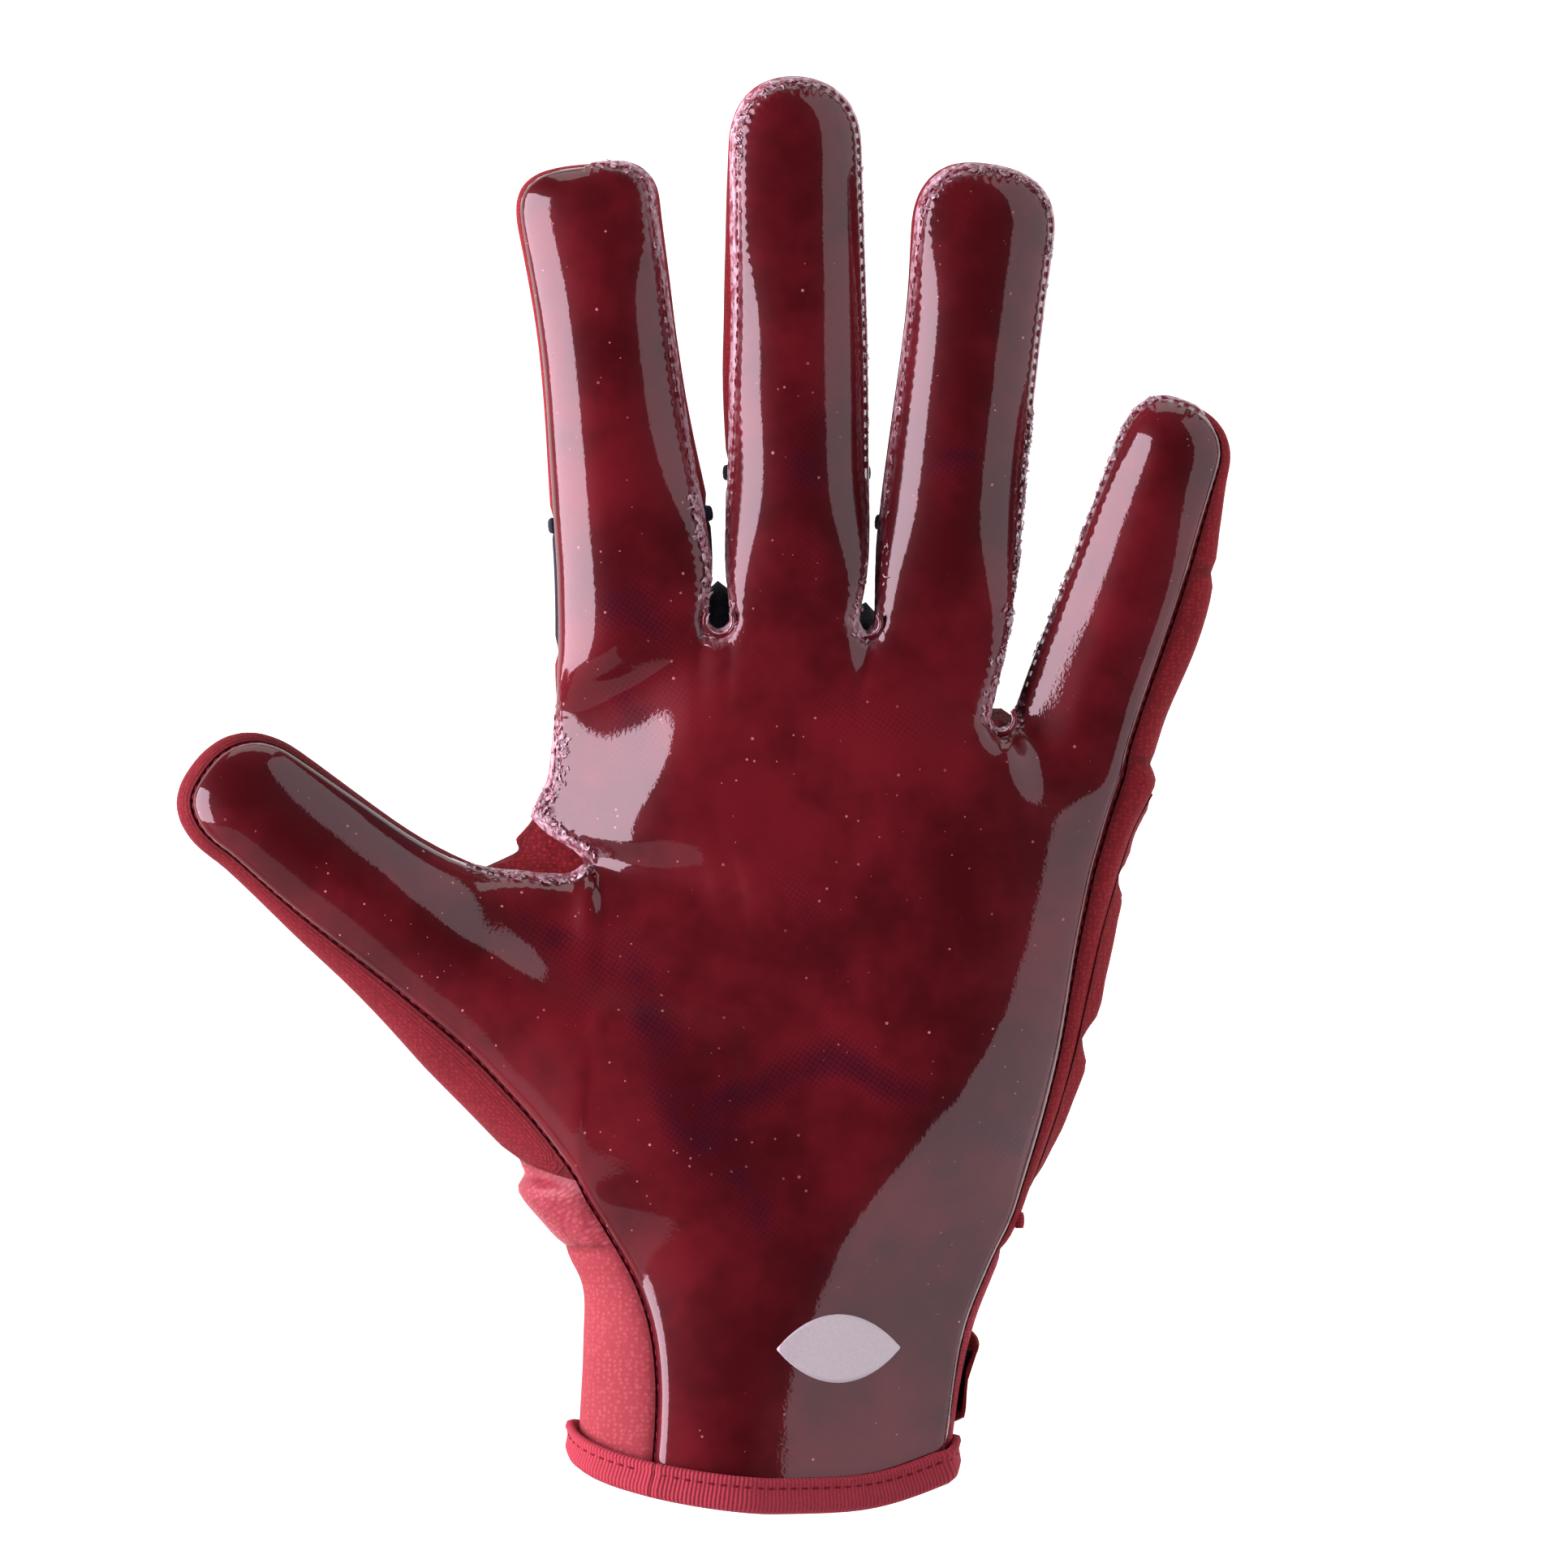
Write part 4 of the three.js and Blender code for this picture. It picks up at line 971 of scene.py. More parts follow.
def knit_effect():
    """The small loops of a knit: their height, and a painted shade for the gaps between them."""
    f, start, end = effect("Knit", {"Place": None, "Pitch": 0.5, "Rows": 1.6}, "Height", "Shade")
    stretch = f.node("ShaderNodeCombineXYZ", X=1.0, Y=1.0, Z=start["Rows"]).outputs[0]
    loops = f.node("ShaderNodeTexVoronoi", {"feature": "SMOOTH_F1"},
                   Vector=f.vector("MULTIPLY", start["Place"], stretch),
                   Scale=f.math("DIVIDE", 1.0, start["Pitch"]), Smoothness=LOOPS["soft"],
                   Randomness=LOOPS["uneven"])
    height = f.scaled(loops.outputs["Distance"], -LOOPS["high"], 1.0)
    f.link(height, end["Height"])
    f.link(f.ramp(height, *LOOPS["shade"]), end["Shade"])
    return f.tree


def dust_effect():
    """Specks of dust: a mask with small round spots, at most one in each cell of the given spacing."""
    f, start, end = effect("Dust", {"Place": None, "Spacing": 1.7, "Size": 0.13, "Share": 0.7}, "Mask")
    cells = f.node("ShaderNodeTexVoronoi", {"feature": "F1"}, Vector=start["Place"],
                   Scale=f.math("DIVIDE", 1.0, start["Spacing"]))
    pick = f.node("ShaderNodeSeparateColor", Color=cells.outputs["Color"]).outputs
    size = f.times(f.math("DIVIDE", start["Size"], start["Spacing"]), f.math("POWER", pick[1], 2.0))
    spot = f.math("LESS_THAN", cells.outputs["Distance"], f.times(size, 2.0))
    f.link(f.times(spot, f.math("LESS_THAN", pick[0], start["Share"])), end["Mask"])
    return f.tree


def seam_effect():
    """The pull of a row of stitches beside a raw edge: the height near the seam."""
    f, start, end = effect("Seam pull", {"Edge": 0.0, "Run": 0.0, "Inset": SEAM_INSET, "Pitch": STITCH_PITCH},
                           "Height")
    away = f.math("DIVIDE", f.math("SUBTRACT", start["Edge"], start["Inset"]), SEAM_PULL["width"])
    wide = f.bell(f.math("DIVIDE", away, SEAM_PULL["spread"]))
    beat = f.math("SINE", f.times(start["Run"], f.math("DIVIDE", 2 * math.pi, start["Pitch"])))
    pucker = f.times(f.times(beat, wide), SEAM_PULL["pucker"])
    f.link(f.math("SUBTRACT", pucker, f.bell(away)), end["Height"])
    return f.tree


def srgb(red, green, blue):
    """A colour as seen in the picture, 0 to 255, in the renderer's linear values."""
    def linear(value):
        value /= 255
        return value / 12.92 if value <= 0.04045 else ((value + 0.055) / 1.055) ** 2.4
    return (linear(red), linear(green), linear(blue), 1.0)


# How strongly each effect colours the film, and the height of its bumps in millimetres.
FILM = {"faint_net": 0.16, "net": 0.8, "stain": 0.7, "dust": 0.8, "waves": 0.1, "grain": 0.012, "pull": 0.3}
# The values between which each of the film's patterns comes in; the last pair brings in the painted shade in
# the turned seams' groove.
FILM_RAMPS = {"cloud": (0.35, 0.68), "milk": (0.42, 0.58), "blot": (0.36, 0.66), "holes": (0.0, 0.45),
              "patch": (0.3, 1.1), "dusty": (0.35, 0.65), "painted_seam_shade": (1.1, 0.2)}


def film_look(name, colours, groups):
    """The glossy film over red cloth: deep red under a clear coat, with the cloth's mesh showing."""
    f = Finish(name)
    place = f.place()
    edge, run, stain, pale, turned = (f.attribute(key) for key in ("edge", "run", "stain", "pale", "turned"))
    cloud = f.ramp(f.noise(place, scale=0.045, detail=4.0, rough=0.6), *FILM_RAMPS["cloud"])
    base = f.mix(cloud, colours.film_deep, colours.film_red)
    streaks = f.noise(f.place(scale=(1, 1, 0.6)), scale=0.9, detail=4.0, rough=0.6)
    milk = f.ramp(streaks, *FILM_RAMPS["milk"])
    base = f.mix(pale, base, colours.film_light)
    base = f.mix(f.times(milk, pale), base, colours.clear_film)
    across, _y, up = f.node("ShaderNodeSeparateXYZ", Vector=f.place(turned=(0, MESH_TURNED, 0))).outputs
    dots = f.times(*(f.math("SINE", f.times(way, 2 * math.pi / MESH_PITCH)) for way in (across, up)))
    blot = f.ramp(f.noise(place, scale=0.09, detail=4.0, rough=0.55), *FILM_RAMPS["blot"])
    patch = f.times(stain, f.scaled(blot, 0.85, 0.3))
    net = f.times(f.ramp(dots, *FILM_RAMPS["holes"]),
                  f.math("MAXIMUM", patch, f.times(blot, FILM["faint_net"])))
    base = f.mix(f.times(net, FILM["net"]), base, colours.film_stain_and_seam_shade)
    base = f.mix(f.times(f.ramp(patch, *FILM_RAMPS["patch"]), FILM["stain"]), base, colours.film_stain_and_seam_shade)
    dusty = f.ramp(f.noise(place, scale=0.03, detail=2.0), *FILM_RAMPS["dusty"])
    specks = f.times(f.group(groups["dust"], Place=place)["Mask"], dusty)
    base = f.mix(f.times(specks, FILM["dust"]), base, colours.dust)
    # Darker, with a thinner coat, along the turned seams where the film sinks in: painted shade in the seam's
    # groove.
    painted_seam_shade = f.times(turned, f.ramp(edge, *FILM_RAMPS["painted_seam_shade"]))
    base = f.mix(painted_seam_shade, base, colours.film_stain_and_seam_shade)
    pull = f.group(groups["seam"], Edge=edge, Run=run, Inset=SEAM_INSET)["Height"]
    normal = f.bump(f.noise(place, scale=0.09, detail=1.0), FILM["waves"])
    normal = f.bump(f.noise(place, scale=1.6, detail=2.0), FILM["grain"], normal)
    normal = f.bump(f.times(pull, f.math("SUBTRACT", 1.0, turned)), FILM["pull"], normal)
    return f.surface(Base_Color=base, Roughness=f.scaled(specks, 0.3, 0.42), Specular_IOR_Level=0.1,
                     Coat_Weight=f.scaled(painted_seam_shade, -0.9, 1.0), Coat_Roughness=0.035, Coat_IOR=1.52,
                     Normal=normal, Coat_Normal=normal)


def cut_edge(name, colours):
    """The film's raw edge: milky where the cut shows the clear layer."""
    f = Finish(name)
    base = f.mix(f.ramp(f.noise(f.place(), scale=0.9), 0.35, 0.65), colours.clear_film, colours.film_light)
    return f.surface(Base_Color=base, Roughness=0.35, Coat_Weight=0.6, Coat_Roughness=0.15)


# Raised lines beside a seam: how many widths of a line they reach to, how much lighter their tops are painted
# as a painted highlight, and their height in millimetres.
LINES = {"from": 5.2, "to": 4.8, "shade": 0.45, "high": 0.12}
SEAM_SHADE = {"reach": 1.6, "share": 0.45}
# How far a knit's loops, painted darker in their low gaps as painted shade, and its clouds, a tone that
# differs at random, go from the dark to the light colour.
KNIT_SHADE = {"loops": 0.6, "clouds": 0.4}


def cloth_look(name, dark, light, groups, pitch=0.85, rows=1.3, turned=0.0, depth=0.06, sheen=0.35,
               rough=0.85, fold=0.0, side=1, lines=0.0):
    """A knitted cloth in two shades, with fine rows, soft fuzz and a little unevenness. lines is the width
    of a few raised lines beside its seams, and side is -1 for pieces that face left."""
    f = Finish(name)
    place, edge = f.place(turned=(0, turned, 0), scale=(side, 1, 1)), f.attribute("edge")
    knit = f.group(groups["knit"], Place=place, Pitch=pitch, Rows=rows)
    clouds = f.times(f.noise(place, scale=0.12), KNIT_SHADE["clouds"])
    # The loops' low gaps painted darker and their tops lighter: painted shade from the knit's height, plus
    # random clouds.
    base = f.mix(f.scaled(knit["Shade"], KNIT_SHADE["loops"], clouds), dark, light)
    # Darker near the seams, where the cloth tucks in: painted shade.
    near = f.scaled(f.ramp(edge, 0.0, SEAM_SHADE["reach"]), -SEAM_SHADE["share"], SEAM_SHADE["share"])
    base = f.mix(near, base, dark, "MULTIPLY")
    normal = f.bump(knit["Height"], depth)
    if lines:
        wave = f.math("SINE", f.times(edge, 2 * math.pi / lines))
        raised = f.times(f.ramp(edge, lines * LINES["from"], lines * LINES["to"]), f.ramp(wave, 0.2, 1.0))
        # The raised lines' tops painted lighter: a painted highlight on the relief.
        base = f.mix(f.times(raised, LINES["shade"]), base, light)
        normal = f.bump(raised, LINES["high"], normal)
    if fold:
        normal = f.bump(f.noise(place, scale=0.3), fold, normal)
    return f.surface(Base_Color=base, Roughness=f.scaled(knit["Shade"], -0.1, rough), Specular_IOR_Level=0.3,
                     Sheen_Weight=sheen, Sheen_Roughness=0.4, Sheen_Tint=light, Normal=normal)


# The ribs of the binding: their pitch, then the share of the ribs, whose troughs are painted shade, and of
# the fine grain in the colour, with what is light anyway, and in the height.
RIB = {"pitch": 0.66, "ribs": 0.28, "grain": 0.5, "light": 0.3, "ribs_high": 0.5, "grain_high": 0.35}


def rib_look(name, dark, light):
    """A ribbed cloth whose ribs cross the piece's own run."""
    f = Finish(name)
    wave = f.math("SINE", f.times(f.attribute("run"), 2 * math.pi / RIB["pitch"]))
    fine = f.noise(f.place(), scale=2.2)
    # Ribs painted lighter on their crests and darker in their troughs: painted shade, with the fine grain as
    # random tone.
    base = f.mix(f.scaled(wave, RIB["ribs"], f.scaled(fine, RIB["grain"], RIB["light"])), dark, light)
    height = f.scaled(fine, RIB["grain_high"], f.times(wave, RIB["ribs_high"]))
    return f.surface(Base_Color=base, Roughness=0.85, Specular_IOR_Level=0.3, Sheen_Weight=0.35,
                     Sheen_Tint=light, Normal=f.bump(height, 0.12))


def thread_look(name, colour):
    """Twisted thread."""
    f = Finish(name)
    strands = f.noise(f.place(), scale=3.0)
    base = f.mix(f.times(strands, 0.5), colour, THREAD_SHADE)
    return f.surface(Base_Color=base, Roughness=0.7, Specular_IOR_Level=0.2, Sheen_Weight=0.3,
                     Sheen_Tint=colour, Normal=f.bump(strands, 0.08))


def shard_look(name, colours):
    """Torn slivers of clear film: milky and shiny."""
    f = Finish(name)
    place = f.place()
    base = f.mix(f.ramp(f.noise(place, scale=1.1), 0.3, 0.7), colours.clear_film, colours.film_light)
    alpha = f.scaled(f.noise(place, scale=2.4, detail=2.0), 0.5, 0.45)
    return f.surface(Base_Color=base, Roughness=0.3, Coat_Weight=0.8, Coat_Roughness=0.1, Alpha=alpha)


def plain_look(name, light, dark, rough, bump, scale, coat=0.0):
    """A plain fine-grained finish."""
    f = Finish(name)
    grain = f.noise(f.place(), scale=scale, detail=4.0)
    return f.surface(Base_Color=f.mix(grain, dark, light), Roughness=f.scaled(grain, 0.15, rough),
                     Coat_Weight=coat, Coat_Roughness=0.1, Normal=f.bump(grain, bump))


# ---- sizes and colours that a user may change ----
# Deeper shades that go with the thread's, the mark's and the hook pad's own colours.
THREAD_SHADE = (0.02, 0.005, 0.008, 1)
MARK_SHADE = (0.62, 0.58, 0.60, 1)
HOOK_SHADE = (0.002, 0.002, 0.003, 1)


def colour(name, description, default):
    return bpy.props.FloatVectorProperty(name=name, description=description, default=default, size=4,
                                         min=0, max=1, subtype="COLOR")


def length(name, description, default_mm):
    return bpy.props.FloatProperty(name=name, description=description, default=default_mm * MM, min=0,
                                   subtype="DISTANCE", unit="LENGTH", precision=5)


def brightness(name, description, default):
    return bpy.props.FloatProperty(name=name, description=description, default=default, min=0)


class GloveColours(bpy.types.PropertyGroup):
    film_red: colour("Film red", "The film's colour over the fingers", srgb(109, 20, 30))
    film_deep: colour("Film deep red", "The film's colour in the middle of the palm", srgb(72, 5, 13))
    film_light: colour("Film light", "Where the film is pale along its seams", srgb(168, 92, 104))
    # Real dark purple stains and the mesh's dots, and also the painted shade in the film's sunken turned
    # seams.
    film_stain_and_seam_shade: colour("Stain", "The dark purple patches under the film", srgb(52, 6, 26))
    clear_film: colour("Clear film", "Torn and cut clear film", srgb(226, 208, 216))
    dust: colour("Dust", "Specks of dust on the film", srgb(225, 150, 140))
    # Each cloth's dark colour is painted shade in the low gaps between its loops or ribs, and its light
    # colour their lit tops; random clouds and grain mix them too.
    back_dark: colour("Back, dark", "The back's cloth between its loops", srgb(118, 16, 26))
    back_light: colour("Back, light", "The back's cloth on its loops", srgb(166, 32, 42))
    thumb_dark: colour("Thumb, dark", "The thumb's cloth between its loops", srgb(94, 10, 20))
    thumb_light: colour("Thumb, light", "The thumb's cloth on its loops", srgb(138, 26, 36))
    navy_dark: colour("Navy, dark", "The knuckles' cloth between its loops", srgb(14, 14, 26))
    navy_light: colour("Navy, light", "The knuckles' cloth on its loops", srgb(38, 40, 66))
    satin_dark: colour("Satin, dark", "The satin tab's shaded side", srgb(136, 42, 52))
    satin_light: colour("Satin, light", "The satin tab's lit side", srgb(178, 80, 88))
    knit_dark: colour("Wrist knit, dark", "The wrist's cloth between its loops", srgb(140, 46, 54))
    knit_light: colour("Wrist knit, light", "The wrist's cloth on its loops", srgb(170, 78, 82))
    rib_dark: colour("Rib, dark", "The binding between its ribs", srgb(130, 32, 46))
    rib_light: colour("Rib, light", "The binding on its ribs", srgb(186, 66, 80))
    thread: colour("Thread", "The stitches", srgb(128, 22, 30))
    mark: colour("Mark", "The printed mark on the palm", srgb(236, 230, 232))
    hook: colour("Hook pad", "The pad under the strap's end", srgb(22, 22, 24))


class GloveSizes(bpy.types.PropertyGroup):
    film_above: length("Film above the form", "How far the film's face stands above the hand's form", 0.5)
    film_below: length("Film below the form", "How far the film reaches below the hand's form", 0.3)
    film_flange: length("Film flange", "How far the film's raw edge reaches past its seam", 0.25)
    cloth_wall: length("Cloth thickness", "Thickness of the cloth pieces", 1.2)
    stitch_length: length("Stitch length", "Length of one stitch", 1.2)
    stitch_radius: length("Thread radius", "Radius of the sewing thread", 0.15)
    pad_height: length("Pad height", "Height of the padded lumps on the back", 2.2)


class GloveStudio(bpy.types.PropertyGroup):
    left_light: brightness("Left light", "Brightness of the left softbox's face", 8.8)
    right_light: brightness("Right light", "Brightness of the right softbox's face", 1.3)
    low_light: brightness("Low light", "Brightness of the light below at the left", 0.5)
    top_light: brightness("Top light", "Brightness of the light overhead", 1.6)
    backdrop: brightness("Backdrop", "Brightness of the pale wall behind the glove", 0.95)


# What the pieces share, filled by the first of them to be made.
WORK = {}


def glove():
    """The things that the pieces share: the skin, the node groups, the colours and the sizes."""
    if not WORK:
        WORK["skin"] = Skin()
        WORK["groups"] = {"knit": knit_effect(), "dust": dust_effect(), "seam": seam_effect()}
    scene = bpy.context.scene
    return WORK["skin"], WORK["groups"], scene.glove_colours, scene.glove_sizes


# Each cloth's dark and light colour, and what sets it apart from a plain knit.
CLOTHS = {
    "back_cloth": ("back_dark", "back_light", {"sheen": 0.22}),
    "navy_cloth": ("navy_dark", "navy_light", {}),
    "satin_cloth": ("satin_dark", "satin_light", {"pitch": 0.8, "rows": 0.22, "turned": math.radians(62),
                                                  "side": -1, "depth": 0.09, "sheen": 0.6, "rough": 0.5,
                                                  "fold": 0.5}),
    "wrist_knit_cloth": ("knit_dark", "knit_light", {"pitch": 0.9, "rows": 1.2, "depth": 0.05, "sheen": 0.5,
                                                     "fold": 0.1, "side": -1}),
    "thumb_cloth": ("thumb_dark", "thumb_light", {"side": -1, "lines": 0.68}),
    "web_cloth": ("thumb_dark", "back_light", {"sheen": 0.4, "fold": 0.9}),
    "side_rib_cloth": ("rib_dark", "rib_light", {"pitch": 0.7}),
}


def look(name):
    """A finish by name, made the first time it is asked for."""
    made = bpy.data.materials.get(name)
    if made:
        return made
    _skin, groups, colours, _sizes = glove()
    if name in CLOTHS:
        dark, light, settings = CLOTHS[name]
        return cloth_look(name, getattr(colours, dark), getattr(colours, light), groups, **settings)
    return {
        "film_red": lambda: film_look(name, colours, groups),
        "film_cut_edge": lambda: cut_edge(name, colours),
        "torn_clear_film": lambda: shard_look(name, colours),
        "rib_binding": lambda: rib_look(name, colours.rib_dark, colours.rib_light),
        "sewing_thread": lambda: thread_look(name, colours.thread),
        "white_print": lambda: plain_look(name, colours.mark, MARK_SHADE, 0.4, bump=0.01, scale=2.5,
                                          coat=0.5),
        "hook_pad": lambda: plain_look(name, colours.hook, HOOK_SHADE, 0.8, bump=0.3, scale=2.2),
    }[name]()


# ---- the film ----
# Dark purple bands under the film: X and Z of both ends, half width and strength.
STAINS = [
    (-9, 67, 2, 71, 4.0, 0.9), (2, 71, 10, 74.5, 4.0, 0.8), (10, 74.5, 24, 68, 4.2, 0.8),
    (24, 68, 41, 60, 4.0, 0.8), (-23.9, 92.4, -18, 76, 5.0, 0.9), (-18, 76, -7, 52, 5.5, 1.0),
    (-7, 52, 5.3, 38.7, 4.0, 0.7), (-8, 60, -4, 50, 5.5, 1.0), (3, 104, 9, 92, 4.0, 0.5),
    (-38, 92, -30, 84, 4.0, 0.6), (-28, 152, -18, 140, 6.5, 0.8), (-24, 140, -21, 122, 5.0, 0.7),
    (-15, 135, -6, 150, 5.0, 0.4), (6, 170, 7, 176, 5.5, 0.8), (6, 146, 8, 160, 6.0, 0.35),
    (24, 172, 32, 172, 3.4, 0.8), (10, 132, 30, 126, 5.0, 0.35), (-52, 112, -46, 106, 4.5, 0.9),
    (-80, 120, -70, 116, 3.0, 0.5), (-40, 96, -26, 88, 4.0, 0.8), (40, 122, 48, 112, 4.0, 0.3),
]
# Where the film is sewn inside out. On the thumb, which is left of an X and above a place on its axis:
# between two places across it, and between two up its axis at the tip. On the little finger, right of an X:
# between two places across it, and below its root between two X, which lean to the left going down. On the
# palm: between two distances to the sides of its middle, and two levels.
TURNED_THUMB = {"left_of": -30, "above": -30, "across": (-2, 2), "tip": (20, 27)}
TURNED_LITTLE = {"right_of": 36, "across": (3, 8), "below": (44, 48), "lean": 0.35, "level": 104}
TURNED_PALM = {"middle": 8, "aside": (16, 22), "levels": (112, 104)}
TURNED_SHARE = 0.3
# How far the film's face and underside sink at its border, how far in from it, and how far a turned
# border stays behind the seam. A raw border is jagged: size, length and seed of its waves.
RAW_BORDER = {"face": 0.15, "width": 0.6, "waves": ((0.16, 1.4, 3), (0.12, 5, 7)), "pale": (0.8, 0.4, 1.2)}
TURNED_BORDER = {"face": 1.5, "under": 1.3, "width": 1.3, "behind": 0.1}
FILM_UNEVEN = {"high": 0.05, "long": 15}


def stain_at(x, z):
    return max(strength * bell(off_line(x, z, *ends), 0, width) for *ends, width, strength in STAINS)


def off_digit(p, name):
    """How far a point lies up a digit's axis, and to the right of it."""
    digit = DIGITS[name]
    lean, x, z = math.radians(digit["lean"]), p.x - digit["root"][0], p.z - digit["root"][1]
    return x * math.sin(lean) + z * math.cos(lean), x * math.cos(lean) - z * math.sin(lean)


def turned_seam(p):
    """1 where the film is sewn inside out into a sunken seam, 0 where its raw edge lies on top."""
    along, across = off_digit(p, "thumb")
    if p.x < TURNED_THUMB["left_of"] and along > TURNED_THUMB["above"]:
        return max(smooth(-across, *TURNED_THUMB["across"]), smooth(along, *TURNED_THUMB["tip"]))
    along, across = off_digit(p, "little")
    if p.x > TURNED_LITTLE["right_of"]:
        if along > 0:
            return smooth(across, *TURNED_LITTLE["across"])
        return smooth(p.x + TURNED_LITTLE["lean"] * (TURNED_LITTLE["level"] - p.z), *TURNED_LITTLE["below"])
    top, foot = TURNED_PALM["levels"]
    return smooth(abs(p.x - TURNED_PALM["middle"]), *TURNED_PALM["aside"]) * smooth(-p.z, -top, -foot)


def ripple(p, size, seed=0):
    """Smooth unevenness of a given size, the same each time for a seed."""
    return noise.noise(Vector((p.x, p.y, p.z + seed * 31)) / size)


class GLOVE_OT_film(bpy.types.Operator):
    """Make the glossy film that is the palm and the fronts of the fingers, and its printed mark"""
    bl_idname = "glove.film"
    bl_label = "Film and Mark"

    def execute(self, context):
        skin, _groups, _colours, sizes = glove()
        above, below, flange = (v / MM for v in (sizes.film_above, sizes.film_below, sizes.film_flange))

        def high(p, edge, run):
            raw = RAW_BORDER["face"] * bell(edge, 0, RAW_BORDER["width"])
            turned = TURNED_BORDER["face"] * bell(edge, 0, TURNED_BORDER["width"])
            uneven = FILM_UNEVEN["high"] * ripple(p, FILM_UNEVEN["long"])
            return above + uneven - lerp(raw, turned, turned_seam(p))

        def low(p, edge, run):
            return -below - TURNED_BORDER["under"] * bell(edge, 0, TURNED_BORDER["width"]) * turned_seam(p)

        def spread(p, run):
            jagged = sum(size * noise.noise(Vector((run / long, 0, seed)))
                         for size, long, seed in RAW_BORDER["waves"])
            return lerp(flange + jagged, -TURNED_BORDER["behind"], turned_seam(p))

        looks = [look("film_red"), look("film_cut_edge")]
        sheet = shell(skin, "palm_sheet", looks, low, high, spread)
        mesh = sheet.data
        for face in mesh.polygons:
            if face.material_index and turned_seam(face.center / MM) > TURNED_SHARE:
                face.material_index = 0
        turned = [turned_seam(v.co / MM) for v in mesh.vertices]
        pale, middle, width = RAW_BORDER["pale"]
        add_values(mesh, "stain", [stain_at(v.co.x / MM, v.co.z / MM) for v in mesh.vertices])
        add_values(mesh, "turned", turned)
        add_values(mesh, "pale", [pale * bell(point.value, middle, width) * (1 - t)
                                  for t, point in zip(turned, mesh.attributes["edge"].data)])
        WORK["film_tree"] = BVHTree.FromObject(sheet, bpy.context.evaluated_depsgraph_get())
        make_mark()
        return {"FINISHED"}


def on_film(x, z):
    """The film's place and outward direction in front of a spot."""
    place, normal, _face, _away = WORK["film_tree"].ray_cast(Vector((x, -60, z)) * MM, Vector((0, 1, 0)))
    return place / MM, normal


# The mark on the palm: X and Z of its middle, its size, how pointed and how blunt its ends are, its cells
# along and across, and how far it stands out of the film and reaches into it.
MARK = {"x": 11, "z": 27, "half_length": 10, "half_height": 5.6, "pointed": 0.9, "blunt": 0.02, "cells": 32,
        "across": 12, "height": 0.14, "depth": 0.05}


def make_mark():
    """The plain ball-shaped mark, printed a little proud on the film."""
    spots = []
    last, wide = MARK["cells"], MARK["across"] + 1
    for n in range(last + 1):
        u = lerp(-1, 1, n / last)
        half = MARK["half_height"] * max(1 - u * u, MARK["blunt"]) ** MARK["pointed"]
        spots += [on_film(MARK["x"] + MARK["half_length"] * u, MARK["z"] + half * lerp(-1, 1, k / (wide - 1)))
                  for k in range(wide)]
    points = [p + n * MARK["height"] for p, n in spots] + [p - n * MARK["depth"] for p, n in spots]
    count = len(spots)
    cells = []
    for i in range(last):
        for a in range(i * wide, i * wide + wide - 1):
            cells.append((a, a + wide, a + wide + 1, a + 1))
            cells.append(tuple(id + count for id in reversed(cells[-1])))
    rim = [*range(wide - 1), *range(wide - 1, count - 1, wide), *range(count - 1, last * wide, -1),
           *range(last * wide, 0, -wide)]
    cells += [(a, b, b + count, a + count) for a, b in pairs(rim)]
    mark = as_piece("palm_badge", points, cells, [look("white_print")], "palm_badge")
    face_outwards(mark.data)


# ---- the cloth ----
# How far the cloth is tucked in at its seams, and how far from them; then how uneven it is elsewhere.
TUCK = {"deep": 0.6, "width": 1.3}
CLOTH_UNEVEN = {"high": 0.12, "long": 11, "seed": 2, "away": 4}
# The cloths and slots of the pieces that differ from the other knuckles and gussets, or from the back.
PIECE_LOOKS = {
    "thumb_web": ("web_cloth", "cloth"), "thumb_back": ("thumb_cloth", "cloth"),
    "satin_tab": ("satin_cloth", "satin"), "wrist_knit": ("wrist_knit_cloth", "cloth"),
    "rib_side": ("side_rib_cloth", "rib"), "little_knuckle": ("back_cloth", "dark_cloth"),
    "gusset_ring_little": ("web_cloth", "dark_cloth"),
}


class GLOVE_OT_cloth(bpy.types.Operator):
    """Make the cloth pieces: the back, the fingers' backs, knuckles, thumb, gussets and wrist panels"""
    bl_idname = "glove.cloth"
    bl_label = "Cloth Pieces"

    def execute(self, context):
        skin, _groups, _colours, sizes = glove()
        wall = sizes.cloth_wall / MM

        def high(p, edge, run):
            uneven = CLOTH_UNEVEN["high"] * ripple(p, CLOTH_UNEVEN["long"], CLOTH_UNEVEN["seed"])
            return uneven * smooth(edge / CLOTH_UNEVEN["away"]) - TUCK["deep"] * bell(edge, 0, TUCK["width"])

        for name in PIECES[1:]:
            dark = name.endswith("_knuckle") or name.startswith("gusset")
            usual = ("navy_cloth", "dark_cloth") if dark else ("back_cloth", "cloth")
            cloth, slot = PIECE_LOOKS.get(name, usual)
            declare_cloth(shell(skin, name, [look(cloth)], lambda *_: -wall, high))
        return {"FINISHED"}


def declare_cloth(piece):
    """Measures the width and height of a cloth piece's box; they are not used."""
    width, _depth, height = (max(values) - min(values) for values in zip(*piece.bound_box))


# The padded lumps: the heights of their underside and border, how far in they are rounded, and how
# uneven they are.
PAD = {"foot": 0.05, "border": 0.25, "round": 3.2, "uneven": 0.1, "long": 5, "seed": 4}


